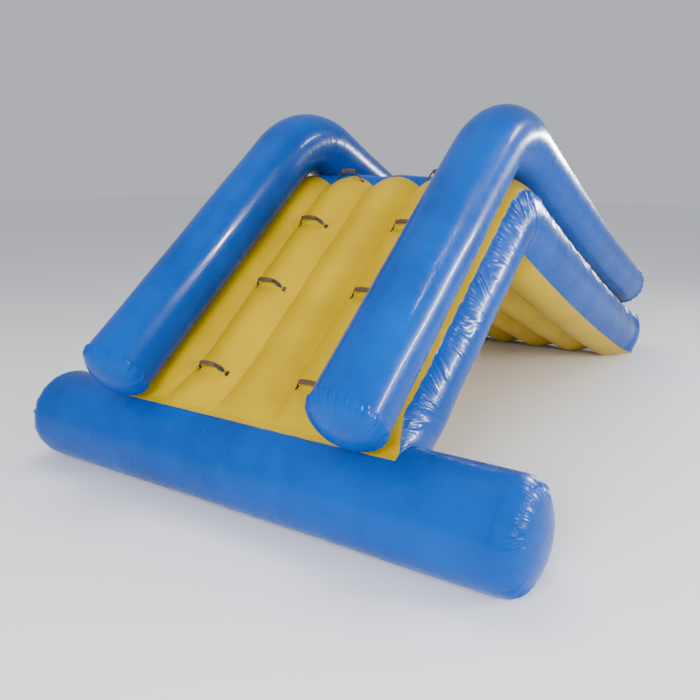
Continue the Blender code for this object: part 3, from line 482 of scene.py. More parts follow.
climb_sheet = mat_sheet("climb_sheet", "climb_skin", TOP_FACE, 0, T_OVER - GAP / 2, 300, 100, hem=True)
mat_sheet("slide_upper_sheet", "slide_skin", TOP_FACE, T_OVER + GAP / 2, T_TAIL, 240, 200)
mat_sheet("climb_lower_sheet", "climb_underside", UNDER_FACE, 0, B_FOLD - GAP / 2, 200, 300)
mat_sheet("slide_lower_sheet", "slide_underside", UNDER_FACE, B_FOLD + GAP / 2, B_TAIL, 260, 400)

# %% [markdown]
# The side walls are one strip on each leg, welded to the sheets above and below and mitred at the crest.
# Their puckers hang from the upper seam, as in the photograph. The foot wall rests on the float, and the
# tail wall holds a valve.

# %% Walls round the mat
def arc_of_foot(share):
    """Round the float's upper back, from the lower to the upper seam."""
    y, z = lower.at(0.0, 0.003)
    first = math.atan2(z - AXIS_Z, y)
    return float_place(first + (LANDING - first) * share, FOOT_RADIUS)


def wall_points(side, t, marks, bulges, share):
    """Points of a side wall, before its wrinkles; share goes from the lower to the upper seam."""
    low_t = np.interp(t, marks[0], marks[1])
    y0, z0 = lower.at(low_t, SHEET + GAP)
    lift, shift = seam_wave(t)
    y1, z1 = upper.at(t, lift - SHEET - GAP)
    y = y0[:, None] + (y1 - y0)[:, None] * share
    z = z0[:, None] + (z1 - z0)[:, None] * share
    ya, za = arc_of_foot(share)
    near = np.clip(1 - (t - T_TOUCH) / RUNOUT, 0, 1)[:, None] ** 1.5
    y, z = y * (1 - near) + ya * near, z * (1 - near) + za * near
    radius = np.hypot(y, z - AXIS_Z)
    clear = FOOT_RADIUS + np.clip(0.4 * (t - T_TOUCH), 0, 0.003)[:, None]
    push = np.maximum(clear / radius, 1)
    y, z = y * push, AXIS_Z + (z - AXIS_Z) * push
    spread = lower_spread(low_t)[:, None] * (1 - share) + upper_spread(t)[:, None] * share
    out = HALF_WIDTH + spread + SIDE_BULGE * bulges(t)[:, None] * arch(share)
    out = out + shift[:, None] * share ** 6
    depth = np.hypot(y1 - y0, z1 - z0)[:, None]
    return stacked(side * out, y, z), depth


def side_wall(name, node, side, marks, bulges, rows, seed, puckers):
    """A wall of the mat with its seam puckers and the crease of the mitre at the crest."""
    even = np.linspace(0, 1, 44)
    share = 0.5 * (even + 0.5 - 0.5 * np.cos(math.pi * even))
    t = np.linspace(marks[0][0], marks[0][-1], rows)
    points, depth = wall_points(side, t, marks, bulges, share)
    along, from_top, from_low = t[:, None], (1 - share) * depth, share * depth
    far, start, tall = puckers
    seed += 7 * side
    field = pleats(along, from_top, seed, (0.018, 0.046), tall, (0.7 * far, 1.6 * far), start=start, lean=0.7,
                   even=0.8)
    field += pleats(along, from_top, seed + 5, (0.014, 0.026), 0.0032, (0.5 * far, far), start=start, even=0.6)
    field += pleats(along, from_low, seed + 9, (0.05, 0.12), 0.0022, (0.03, 0.07), start=0.012)
    fold = np.abs(along - T_FOLD)
    field -= 0.011 * bell(fold, 0.016) * arch(share) ** 0.4
    field += pleats(from_top, fold, seed + 13, (0.02, 0.05), 0.003, (0.02, 0.05))
    field += 0.0022 * ripple(points, 0.45, seed)
    ends = np.minimum(along - t[0], t[-1] - along)
    rim = np.clip(np.minimum(from_top, from_low) / 0.004, 0, 1)
    shut = np.clip(np.where(fold < 0.2, 1, ends / 0.03), 0, 1)
    points = raised(points, field * rim * shut, (side, 0, 0))
    piece = grid_mesh(name, points, (side, 0, 0), blue, (along, from_low))
    dress(piece, node)
    print(name, len(piece.data.polygons))


climb_bulge = course([T_TOUCH, T_TOUCH + RUNOUT, T_PLANE, T_FOLD], [0, 0.8, 1, 1])


def slide_bulge(t):
    left = np.clip((T_TAIL - t) / TAIL_FADE, 0, 1)
    return (1 - (1 - left) ** 2.2) ** (1 / 2.2)


# Places on the upper and the lower line that lie across from each other
CLIMB_MARKS = ([T_TOUCH, T_TOUCH + RUNOUT, T_PLANE, T_CREST, T_FOLD - GAP / 2],
               [0, B_RUNOUT, B_CREST - LANDING_START, B_CREST, B_FOLD - GAP / 2])
SLIDE_MARKS = ([T_FOLD + GAP / 2, T_OVER, T_TAIL], [B_FOLD + GAP / 2, B_OVER, B_TAIL])
# For each leg how far its puckers reach, where they start and how tall they are
WALLS = (("climb", CLIMB_MARKS, climb_bulge, 440, 500, (0.085, 0.022, 0.012)),
         ("slide", SLIDE_MARKS, slide_bulge, 700, 540, (0.095, 0.012, 0.013)))
for side, word in SIDES:
    for leg, *shape in WALLS:
        side_wall(f"{leg}_side_{word}", f"{leg}_wall_{word}", side, *shape)

share = np.linspace(0, 1, 50)[:, None]
x = np.linspace(-1, 1, 90) * (HALF_WIDTH + FOOT_SPREAD - 3 * SHEET)
y, z = arc_of_foot(share)
foot = grid_mesh("foot_wall_sheet", stacked(x, y, z), (0, -y.mean(), AXIS_Z - z.mean()), yellow, (share, x))
dress(foot, "foot_wall")

TAIL_OUT = np.array([0, math.cos(SLIDE_TAIL), -math.sin(SLIDE_TAIL)])


def tail_wall():
    """The wall across the sliding side's end, scalloped by the channels and calm round its valve."""
    x, u = columns_of(30)
    share = (0.5 - 0.5 * np.cos(math.pi * np.linspace(0, 1, 60)))[:, None]
    crown = CROWN * TAIL_SHARE * (1 - u ** 2)
    wide = x * (1 + TAIL_SPREAD / HALF_WIDTH)
    edge = 1 - (np.abs(x) / HALF_WIDTH) ** 8
    reach = GAP + SHEET + TAIL_BULGE * arch(share) ** 0.8 * edge
    y, z = (low + (high - low) * share for low, high in zip(lower.at(B_TAIL, -crown), upper.at(T_TAIL, crown)))
    points = stacked(wide, y + reach * TAIL_OUT[1], z + reach * TAIL_OUT[2])
    field = sum(pleats(wide, away * DEPTH, seed, (0.03, 0.06), 0.004, (0.03, 0.08), start=0.012)
                for away, seed in ((1 - share, 700), (share, 710)))
    calm = 1 - np.exp(-((wide / 0.07) ** 2 + ((share - 0.5) * DEPTH / 0.07) ** 2))
    points = raised(points, field * calm * edge, TAIL_OUT)
    return grid_mesh("tail_wall_sheet", points, TAIL_OUT, blue, (wide, share * DEPTH))


def pierce(obj, place):
    """Cut a round hole for a valve through a sheet."""
    bm = bmesh.new()
    bmesh.ops.create_cone(bm, cap_ends=True, segments=48, radius1=NECK, radius2=NECK, depth=0.06, matrix=place)
    mesh = bpy.data.meshes.new("hole")
    bm.to_mesh(mesh)
    bm.free()
    tool = linked("hole", mesh)
    step = obj.modifiers.new("hole", "BOOLEAN")
    step.operation, step.solver, step.object = "DIFFERENCE", "EXACT", tool
    bake(obj)
    smooth(obj)
    bpy.data.objects.remove(tool)


tail = tail_wall()
tail_middle = np.array([0, *slide_place(SLIDE_LENGTH, (UNDER + UPPER) / 2)])
tail_middle += (GAP + TAIL_BULGE + SHEET) * TAIL_OUT
pierce(tail, Matrix.Translation(tail_middle) @ Matrix.Rotation(math.pi / 2 + SLIDE_TAIL, 4, "X"))
dress(tail, "tail_wall")

# %% [markdown]
# Four webs hold the mat's sheets together under the valleys. They are stretched flat between them.

# %% Webs inside the mat
web_t = np.concatenate([np.linspace(T_PLANE, T_OVER, 90), np.linspace(T_OVER, T_FADE, 90)[1:]])
web_low = np.interp(web_t, [T_PLANE, T_CREST, T_OVER, T_TAIL],
                    [B_CREST - LANDING_START, B_CREST, B_OVER, B_TAIL])
share = np.linspace(0, 1, 9)
y, z = (a[:, None] + (b - a)[:, None] * share
        for a, b in zip(lower.at(web_low, SHEET + GAP), upper.at(web_t, -SHEET - GAP)))
for i, word in enumerate(("outer_left", "inner_left", "inner_right", "outer_right")):
    x = (i + 1 - CHANNELS / 2) * PITCH + SHEET / 2
    web = grid_mesh(f"web_sheet_{word}", stacked(x, y, z), (1, 0, 0), white, (web_t[:, None], share * 0.4))
    dress(web, f"web_{word}")

# %% [markdown]
# A slick sheet covers the channels of the sliding side from the crest to just above the tail.

# %% Sheet that is slid on
t = np.linspace(T_FOLD, slide_t(SLIDE_LENGTH - SLICK_TAIL_ROOM), 230)[:, None]
x = np.linspace(-SLICK_HALF, SLICK_HALF, 97)
from_middle = (x / PITCH + 0.5) % 1 * 2 - 1
dip = bell(t - T_FOLD, 0.06) * from_middle ** 2
top = CROWN * upper_crown(t) * (1 - dip) + 0.005 - 0.003 * bell(t - T_FOLD, 0.02)
sag = 0.004 * (0.5 - 0.5 * np.cos(math.tau * x / PITCH)) * (1 - dip)
points = stacked(x, *upper.at(t, top - sag))
edge = SLICK_HALF - np.abs(x)
field = pleats(t, edge, 800, (0.06, 0.12), 0.002, (0.03, 0.08)) + 0.0006 * ripple(points, 0.4, 801)
points = raised(points, field * np.clip(edge / 0.01, 0, 1), (0, 0, 1))
sheet = grid_mesh("slide_top_sheet", points, (0, 0, 1), blue, (t, points[..., 0]))
dress(sheet, "slide_sheet")
print("slide sheet: length", round(float(np.linalg.norm(np.diff(points[:, 48], axis=0), axis=-1).sum()), 3))

# %% [markdown]
# The float is one long tube with a domed end on each side. A weld rings each dome, and the cloth gathers
# into short bright puckers on both sides of it.

# %% Round tubes
TONGUE = 0.020            # part of a domed end that lies inside its tube


def dome(name, centre, out, down, side, radius, depth, weld, rows, sides, seed, hole=None, trees=()):
    """A domed end of a tube. A tongue goes on inside the tube, and a weld rings the shoulder.

    The weld has a groove with puckers on both sides of it, which fade out under the tube.
    """
    turn = turns(sides)
    last = math.pi / 2 if hole is None else math.acos((hole / radius) ** 1.1)
    phi = last * np.concatenate([[0, 0.004], np.linspace(0, 1, rows)[1:] ** 0.9])
    width = radius * np.cos(phi) ** (1 / 1.1)
    reach = depth * np.sin(phi) ** (1 / 1.1)
    if hole is None:
        width[-1] = 0
    away = np.concatenate([[0], np.cumsum(np.hypot(np.diff(width), np.diff(reach)))])
    weld_at = np.interp(-weld * radius, -width, away)
    tongue = np.linspace(-TONGUE, -0.0002, 5)
    width, reach, away = (np.concatenate([start, rest])[:, None] for start, rest in
                          ((np.full(5, radius - 0.0016), width), (tongue, reach), (tongue, away)))
    arm = np.cos(turn)[:, None] * down + np.sin(turn)[:, None] * side
    points = centre + width[..., None] * arm + reach[..., None] * out
    off = away - weld_at
    field = pleats(radius * turn + 0.2 * off, np.abs(off), seed, (0.011, 0.026), 0.0135, (0.022, 0.055),
                   start=0.0005, lean=0, even=0.75)
    field = (field - 0.0007 * bell(off, 0.004)) * np.clip(np.minimum(turn, math.tau - turn) / 0.1, 0, 1)
    field *= np.clip(away / 0.012, 0, 1) * np.clip((width - 0.05) / 0.05, 0, 1)
    outward = points - (centre - out * radius)
    points = lifted(raised(points, field, outward, around=True), trees)
    return grid_mesh(name, points, outward, blue, (away, radius * turn), around=True,
                     merge=0.00001 if hole is None else 0)


def skin_tree(start, end):
    """The upper sheets' bare shape between two places, for points to be lifted onto."""
    points = swollen(TOP_FACE, np.linspace(start, end, 300), *columns_of(22))
    return BVHTree.FromPolygons(points.reshape(-1, 3).tolist(), quads(numbered(points), (1, 2, 3, 0)).tolist())


def lifted(points, trees, gap=0.0006):
    """Points that are pressed into the mat lie on it instead."""
    flat = points.reshape(-1, 3).copy()
    for tree in trees:
        for i, p in enumerate(flat):
            spot, normal, _, _ = tree.find_nearest(p, 0.03)
            if spot is not None and (Vector(p) - spot).dot(normal) < gap:
                flat[i] = spot + gap * normal
    return flat.reshape(points.shape)


def stops(*stretches):
    """Places along a line, with a step of its own for each stretch."""
    parts = [np.linspace(a, b, max(2, round((b - a) / step) + 1))[:-1] for a, b, step in stretches]
    return np.concatenate([*parts, [stretches[-1][1]]])


def float_tube():
    """The long tube, with two thin creases across its front upper side."""
    turn = turns(180)
    x = stops((-FLOAT_HALF, -0.25, 0.05), (-0.25, 0.12, 0.004), (0.12, FLOAT_HALF, 0.05))[:, None]
    points = stacked(x, FLOAT_RADIUS * np.sin(turn), AXIS_Z - FLOAT_RADIUS * np.cos(turn))
    outward = points * (0, 1, 1) - np.array([0, 0, AXIS_Z])
    field = 0.0018 * ripple(points, 0.6, 920) * np.clip((FLOAT_HALF - np.abs(x)) / 0.05, 0, 1)
    for place, slope, low, high in ((-0.16, 0.05, 206.5, 250.9), (0.03, 0.02, 217.2, 260.7)):
        share = (turn - math.radians(low)) / math.radians(high - low)
        taper = np.clip(arch(share), 0, 1) ** 0.6
        off = x - place - slope * (share - 0.5)
        field += taper * (0.0045 * bell(off, 0.007) - 0.002 * bell(off - 0.016, 0.010))
    points = raised(points, field, outward, around=True)
    return grid_mesh("float_sleeve", points, outward, blue, (x, FLOAT_RADIUS * turn), around=True)


dress(float_tube(), "float_tube")
for side, word in SIDES:
    centre = np.array([side * (FLOAT_HALF + GAP), 0, AXIS_Z])
    cap = dome(f"float_cap_{word}", centre, np.array([side, 0, 0]), np.array([0, 0, -1]), np.array([0, 1, 0]),
               FLOAT_RADIUS, FLOAT_DOME, FLOAT_WELD, 66, 400, 905 + 5 * side, NECK if side < 0 else None)
    dress(cap, f"float_end_{word}")

# %% [markdown]
# Each rail is a tube that bends over the crest. Its inner side has too much cloth at the bend and creases
# there. Where a rail would sink into the mat, its points are lifted onto it.

# %% Rails
below = -(RAIL_SEAT - RAIL_BEND) * math.tan((CLIMB + SLIDE_TOP) / 2)
pivot = np.array(climb_place(below, RAIL_SEAT - RAIL_BEND))
bend = [tuple(pivot + RAIL_BEND * np.array([math.sin(a), math.cos(a)]))
        for a in np.linspace(-CLIMB, SLIDE_TOP, 40)]
rail_line = SideLine([[climb_place(RAIL_FOOT, RAIL_SEAT)], bend[:1], bend[1:],
                      [slide_place(d, RAIL_SEAT) for d in np.linspace(0.16, SLIDE_LENGTH - TAIL_FADE, 80)]],
                     blur=0.02)
BEND_START, BEND_END, RAIL_END = rail_line.marks[2:]
SKINS = skin_tree(0, T_OVER), skin_tree(T_FOLD, T_TAIL)


rail_lean = course([0, BEND_START, BEND_END, RAIL_END], [RAIL_LEAN, -RAIL_LEAN, -RAIL_LEAN, 0], 0.06)


def rail_tube(word, side, seed):
    """A rail from its foot to its tail, with creases on the inner side of its bend."""
    t = stops((0, BEND_START - 0.3, 0.05), (BEND_START - 0.3, BEND_END + 0.3, 0.010),
              (BEND_END + 0.3, RAIL_END, 0.05))[:, None]
    turn = turns(140)
    y, z = rail_line.at(t, 0)
    tilt = np.interp(t, rail_line.t, rail_line.tilt)
    x, up = side * (RAIL_X + rail_lean(t)), -np.cos(turn)
    points = stacked(x + RAIL_RADIUS * np.sin(turn), y + RAIL_RADIUS * up * np.sin(tilt),
                     z + RAIL_RADIUS * up * np.cos(tilt))
    outward = points - stacked(x, y, z)
    inner = np.minimum(turn, math.tau - turn) * RAIL_RADIUS
    in_bend = np.exp(-((t - (BEND_START + BEND_END) / 2) / (0.62 * (BEND_END - BEND_START))) ** 4)
    field = in_bend * pleats(t, inner, seed + 7, (0.030, 0.065), 0.0085, (0.22, 0.42), start=0.01, lean=0.1)
    field += 0.0018 * ripple(points, 0.5, seed) * np.clip(np.minimum(t, RAIL_END - t) / 0.05, 0, 1)
    points = lifted(raised(points, field, outward, around=True), SKINS)
    return grid_mesh(f"rail_{word}_sleeve", points, outward, blue, (t, RAIL_RADIUS * turn), around=True)


for side, word in SIDES:
    seed = 1050 + 50 * side
    dress(rail_tube(word, side, seed), f"rail_{word}_tube")
    for end, t, forward, shift in (("foot", 0.0, -1, 0), ("tail", RAIL_END, 1, 50)):
        tilt = float(np.interp(t, rail_line.t, rail_line.tilt))
        out = forward * np.array([0, math.cos(tilt), -math.sin(tilt)])
        centre = np.array([side * (RAIL_X + rail_lean(t)), *rail_line.at(t, 0)]) + out * GAP
        cap = dome(f"rail_{word}_{end}_cap", centre, out, -np.array([0, math.sin(tilt), math.cos(tilt)]),
                   np.array([1.0, 0, 0]), RAIL_RADIUS, RAIL_DOME, RAIL_WELD, 50, 300, seed + shift,
                   NECK if end == "tail" else None, SKINS)
        dress(cap, f"rail_{word}_{end}_end")

# %% [markdown]
# Webbing, foam rubber, nylon and thread are told apart by their sheen and grain.

# %% Materials of the handles and valves
def webbing(name, code):
    """Woven polyester webbing: matt, ribbed across, with a fine diagonal twill."""
    material, tree, shader, place = new_material(name)
    # Ribs every 2.9 mm and twill every 1.2 mm; on real webbing the ribs lie 1.5 mm apart.
    ribs, twill = (add(tree, "ShaderNodeTexWave", {"bands_direction": way, "Scale": scale, "Distortion": bent},
                       {"Vector": place["UV"]}).outputs["Fac"]
                   for way, scale, bent in (("X", 110.0, 0.6), ("DIAGONAL", 260.0, 0.3)))
    weave = add(tree, "ShaderNodeMath", {"operation": "MULTIPLY"}, {0: ribs, 1: twill})
    shades = add(tree, "ShaderNodeValToRGB", {"stops": [(0, linear(code, 0.55)), (1, linear(code, 1.35))]},
                 {"Fac": weave})
    relief = add(tree, "ShaderNodeBump", {"Strength": 0.6, "Distance": 0.0004}, {"Height": weave})
    add(tree, shader, {"Roughness": 0.72}, {"Base Color": shades, "Normal": relief})
    return material


def moulded(name, code, rough, grain, depth):
    """Moulded rubber or plastic: faint clouds of colour, fine grain, uneven gloss."""
    material, tree, shader, place = new_material(name)
    clouds, pores = (add(tree, "ShaderNodeTexNoise", {"Scale": scale, "Detail": detail},
                         {"Vector": place["Object"]}) for scale, detail in ((30.0, 3.0), (grain, 2.0)))
    shades = add(tree, "ShaderNodeValToRGB", {"stops": [(0, linear(code, 0.75)), (1, linear(code, 1.25))]},
                 {"Fac": clouds})
    gloss = add(tree, "ShaderNodeMapRange", {"To Min": rough - 0.08, "To Max": rough + 0.08}, {"Value": clouds})
    relief = add(tree, "ShaderNodeBump", {"Strength": 0.4, "Distance": depth}, {"Height": pores})
    add(tree, shader, None, {"Base Color": shades, "Roughness": gloss, "Normal": relief})
    return material


# Polyester webbing: matt near-black, whose ribs catch a grey sheen on bends.
black = webbing("black polyester webbing", "2A2624")
# Foam rubber of the grip: dull brown, with open pores about a millimetre wide.
grip_rubber = moulded("brown foam rubber", "54402E", 0.45, 900.0, 0.0002)
# Nylon of the valves: dark grey, half gloss, nearly without grain.
valve_plastic = moulded("dark grey nylon", "3E4248", 0.38, 1500.0, 0.00005)
# Silicone rubber of the valves' leaves: black and dull.
valve_rubber = moulded("black silicone rubber", "222224", 0.6, 1200.0, 0.0001)
# Polyester thread of the stitches: a touch lighter than the webbing, so that each stitch can be told.
thread = moulded("black polyester thread", "3A3532", 0.5, 2500.0, 0.00005)

# %% [markdown]
# Eight handles sit in four rows. Webbing runs from a stitched foot through a grip and back down. The feet
# and the glued pad belong to the mat; webbing and grip swing together. Geometry Nodes sew every foot with
# a box and a cross of thread.

# %% Grab handles
REACH, RISE, GRIP_HALF, GRIP_ARCH, GRIP_RADIUS = 0.100, 0.068, 0.057, 0.0085, 0.0135
STRAP_THICK, STRAP_HALF, BASE_THICK, BASE_GAP = 0.0022, 0.0100, 0.0014, 0.0002
HANDLE_TILTS = {"crest": -CLIMB + 2.5 / 6 * (CLIMB + SLIDE_TOP), "top": -CLIMB, "middle": -CLIMB, "low": -CLIMB}
joints = {j["name"]: j for j in frame["record"]["behaviour"]["joints"]}
mat_tree = BVHTree.FromObject(climb_sheet, bpy.context.evaluated_depsgraph_get())


def framed(x, y, z, origin):
    """Matrix of a frame with these axes and this origin."""
    place = Matrix((x, y, z)).transposed().to_4x4()
    place.translation = origin
    return place


def placed(points, place):
    flat = np.array(place.to_3x3()) @ points.reshape(-1, 3).T + np.array(place.translation)[:, None]
    return flat.T.reshape(points.shape)


def grip_rise(x):
    return RISE - GRIP_ARCH * (x / GRIP_HALF) ** 2


def strap(name, place):
    """The webbing that runs through the grip, slightly cupped, with its folded legs widest halfway.

    Its line holds place, height and half width, from one stitched end to the other.
    """
    end = (GRIP_HALF, grip_rise(GRIP_HALF), STRAP_HALF)
    knots = [(REACH, 0.0, 0.0012), (0.0975, 0.0065, 0.0034), (0.094, 0.0130, 0.0072), (0.088, 0.024, 0.0138),
             (0.078, 0.040, 0.0150), (0.067, 0.054, 0.0115), end]
    fine = np.linspace(0, 1, 22)
    half = stacked(*(SideLine.soften(np.interp(fine, np.linspace(0, 1, len(knots)), values), 1.0)
                     for values in zip(*knots)))
    half[-1] = end
    inside = np.linspace(GRIP_HALF, 0, 12)[1:]
    half = np.concatenate([half, stacked(inside, grip_rise(inside), STRAP_HALF)])
    line = np.concatenate([half * (-1, 1, 1), half[-2::-1]])
    share = np.linspace(-1, 1, 9)
    away = np.concatenate([[0], np.cumsum(np.hypot(*np.diff(line[:, :2], axis=0).T))])
    x, height, half = line[:, :1], line[:, 1:2], line[:, 2:]
    cup = 0.0016 * (1 - share ** 2) * np.clip((np.abs(x) - GRIP_HALF) / 0.01, 0, 1)
    points = stacked(x, half * share, height + cup + STRAP_THICK / 2)
    return grid_mesh(name, placed(points, place), place.col[2][:3], black, (away[:, None], half * share),
                     thick=STRAP_THICK)


def grip(name, place):
    """The soft tube that a hand closes round, with rolled ends."""
    t = np.concatenate([np.linspace(-1, -0.93, 6), np.linspace(-0.9, 0.9, 24), np.linspace(0.93, 1, 6)])
    turn, x = turns(48)[:, None], GRIP_HALF * t
    slope = -2 * GRIP_ARCH * x / GRIP_HALF ** 2
    up = stacked(-slope, 0, 1) / np.sqrt(1 + slope ** 2)[:, None]
    radius = GRIP_RADIUS * (1 - 0.10 * np.clip((np.abs(t) - 0.93) / 0.07, 0, 1) ** 2) + 0.0006 * (1 - t ** 2)
    middle = stacked(x, 0, grip_rise(x))[:, None]
    arm = np.cos(turn) * (0, 1, 0) + np.sin(turn) * up[:, None]
    points = placed(middle + radius[:, None, None] * arm, place)
    return grid_mesh(name, points, points - placed(middle, place), grip_rubber,
                     (x[:, None], GRIP_RADIUS * turn[:, 0]), around=True, thick=0.0018)


def under(tree, place, x, y):
    """The point of a surface below a place in the handle's frame, and the way out of it."""
    return tree.ray_cast(place @ Vector((x, y, 0.05)), -place.col[2].to_3d(), 0.3)[:2]


def patch(name, place, x, half, lift, thick, material, least=None):
    """A strip that lies on the mat: half widths at places along the handle, lifted by so much.

    Least gives heights in the handle's frame that the strip doesn't go below.
    """
    share = np.linspace(-1, 1, 9)
    up, back = place.col[2].to_3d(), place.inverted()
    points = np.zeros((len(x), len(share), 3))
    for i, (a, w) in enumerate(zip(x, half)):
        for k, s in enumerate(share):
            spot, normal = under(mat_tree, place, a, w * s)
            spot = spot + normal * lift
            if least is not None:
                spot += up * max(0.0, least[i] - (back @ spot).z)
            points[i, k] = spot
    return grid_mesh(name, points, np.array(up), material, (x[:, None], share * 0.02), thick=thick)


def join(name, pieces):
    """Several finished pieces of one material as one."""
    bm = bmesh.new()
    for piece in pieces:
        bm.from_mesh(piece.data)
    mesh = bpy.data.meshes.new(name)
    bm.to_mesh(mesh)
    bm.free()
    obj = linked(name, mesh, pieces[0].data.materials[0])
    for piece in pieces:
        bpy.data.objects.remove(piece)
    return obj


def stitch_nodes():
    """Geometry Nodes that lay a row of thread stitches along each line of a mesh of edges."""
    tree = bpy.data.node_groups.new("rows of stitches", "GeometryNodeTree")
    sockets = [("Geometry", "Geometry", None), ("Spacing", "Float", 0.0035), ("Stitch Length", "Float", 0.0026),
               ("Thread Thickness", "Float", 0.0009), ("Unevenness", "Float", 0.12), ("Seed", "Int", 7),
               ("Thread", "Material", None)]
    for name, kind, value in sockets:
        socket = tree.interface.new_socket(name=name, in_out="INPUT", socket_type=f"NodeSocket{kind}")
        if value is not None:
            socket.default_value = value
    tree.interface.new_socket(name="Geometry", in_out="OUTPUT", socket_type="NodeSocketGeometry")
    given = add(tree, "NodeGroupInput").outputs
    lines = add(tree, "GeometryNodeMeshToCurve", None, {"Mesh": given["Geometry"]})
    even = add(tree, "GeometryNodeResampleCurve", {"mode": "LENGTH"},
               {"Curve": lines, "Length": given["Spacing"]})
    turn = add(tree, "FunctionNodeAlignRotationToVector", {"axis": "X"},
               {"Vector": add(tree, "GeometryNodeInputTangent")})
    slack = add(tree, "ShaderNodeMath", {"operation": "SUBTRACT", 0: 1.0}, {1: given["Unevenness"]})
    size = add(tree, "FunctionNodeRandomValue", {"data_type": "FLOAT"}, {2: slack, "Seed": given["Seed"]})
    ball = add(tree, "GeometryNodeMeshIcoSphere", {"Radius": 0.5, "Subdivisions": 2})
    thick = given["Thread Thickness"]
    shape = add(tree, "ShaderNodeCombineXYZ", None, {"X": given["Stitch Length"], "Y": thick, "Z": thick})
    stitch = add(tree, "GeometryNodeTransform", None, {"Geometry": ball, "Scale": shape})
    copies = add(tree, "GeometryNodeInstanceOnPoints", None,
                 {"Points": even, "Instance": stitch, "Rotation": turn, "Scale": size.outputs[1]})
    real = add(tree, "GeometryNodeRealizeInstances", None, {"Geometry": copies})
    thread = add(tree, "GeometryNodeSetMaterial", None, {"Geometry": real, "Material": given["Thread"]})
    add(tree, "NodeGroupOutput", None, {"Geometry": thread})
    return tree


SEWN_IN, SEWN_OUT, SEWN_HALF, SEWN_POINTS = 0.1055, 0.1140, 0.0135, 12


def stitch_lines(place, tree, side):
    """The box and the cross that are sewn through a foot, as points on its upper face."""
    a, b, w = side * SEWN_IN, side * SEWN_OUT, SEWN_HALF
    lines = []
    for start, end in (((a, -w), (a, w)), ((b, -w), (b, w)), ((a, -w), (b, -w)), ((a, w), (b, w)),
                       ((a, -w), (b, w)), ((a, w), (b, -w))):
        for s in np.linspace(0, 1, SEWN_POINTS):
            spot, normal = under(tree, place, *(p + (q - p) * s for p, q in zip(start, end)))
            lines.append(tuple(spot + 0.0001 * normal))
    return lines


PAD_HALF, PAD_WIDE, PAD_ROUND = 0.121, 0.020, 0.0155
FOOT_IN, FOOT_OUT, FOOT_THICK, FOOT_GAP = 0.0965, 0.1165, 0.0018, 0.0002
corners = []
for row, tilt in HANDLE_TILTS.items():
    for _, word in SIDES:
        title = f"handle_{row}_{word}"
        # x along the grip, z away from the mat, origin between the stitched ends
        place = framed((1, 0, 0), (0, math.cos(tilt), -math.sin(tilt)), (0, math.sin(tilt), math.cos(tilt)),
                       joints[f"{title}_swing"]["pos_m"])
        x = np.linspace(-PAD_HALF, PAD_HALF, 42)
        round_end = np.sqrt(np.clip(1 - ((np.abs(x) - 0.106) / PAD_ROUND).clip(0) ** 2, 0.05, 1))
        pad = patch(f"{title}_pad", place, x, PAD_WIDE * round_end, BASE_THICK + BASE_GAP, BASE_THICK, yellow)
        dress(pad, f"{title}_base")
        feet = []
        for side, _ in SIDES:
            off = np.linspace(FOOT_IN, FOOT_OUT, 15)
            half = np.interp(off, [FOOT_IN, 0.100, 0.113, FOOT_OUT], [0.0100, 0.0140, 0.0185, 0.0170])
            least = np.interp(off, [FOOT_IN, 0.1008, 0.1028, 0.1045, 0.110],
                              [-0.0022, -0.0022, 0.0014, 0.0010, -0.02])
            lift = BASE_THICK + BASE_GAP + FOOT_GAP + FOOT_THICK
            feet.append(patch("foot", place, side * off, half, lift, FOOT_THICK, black, least))
        feet = join(f"{title}_feet", feet)
        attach(feet, "slide")
        feet_tree = BVHTree.FromObject(feet, bpy.context.evaluated_depsgraph_get())
        for side, _ in SIDES:
            corners += stitch_lines(place, feet_tree, side)
        dress(strap(f"{title}_webbing", place), f"{title}_strap", title)
        dress(grip(f"{title}_tube", place), f"{title}_grip", title)
edges = [(i, i + 1) for i in range(len(corners) - 1) if (i + 1) % SEWN_POINTS]
stitches = linked("handle_stitches", new_mesh("handle_stitches", corners, [], edges))
rows_of_stitches = stitches.modifiers.new("stitches", "NODES")
rows_of_stitches.node_group = stitch_nodes()
for item in rows_of_stitches.node_group.interface.items_tree:
    if item.name == "Thread":
        rows_of_stitches[item.identifier] = thread
bake(stitches)
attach(stitches, "slide")
print("stitches:", len(corners) // SEWN_POINTS, "rows,", len(stitches.data.polygons), "faces")

# %% [markdown]
# Each chamber has a valve: a socket welded into the fabric, a rubber leaf inside and a lid that turns.

# %% Valves
def turned(name, profile, place, material):
    """A closed ring or disc turned about z from a profile of (radius, height)."""
    profile, turn = np.array(profile), turns(72)
    points = stacked(profile[:, :1] * np.cos(turn), profile[:, :1] * np.sin(turn), profile[:, 1:])
    index = wrapped(numbered(points))
    if profile[0, 0] > 0:
        index = np.concatenate([index, index[:1]])
    mesh = new_mesh(name, placed(points, place), quads(index).tolist())
    mended(mesh, 0.000005, outwards=True)
    mesh.set_sharp_from_angle(angle=math.radians(35))
    return linked(name, mesh, material)


def rounded(profile, radius=0.0006):
    """A profile with its corners cut off by small arcs."""
    profile = [np.array(p, dtype=float) for p in profile]
    out = [profile[0]]
    for before, p, after in zip(profile, profile[1:], profile[2:]):
        a, b = before - p, after - p
        cut = min(radius, 0.4 * np.linalg.norm(a), 0.4 * np.linalg.norm(b))
        start, end = p + a / np.linalg.norm(a) * cut, p + b / np.linalg.norm(b) * cut
        out += [start * (1 - s) ** 2 + 2 * p * s * (1 - s) + end * s ** 2 for s in np.linspace(0, 1, 4)]
    return [tuple(p) for p in out + [profile[-1]]]


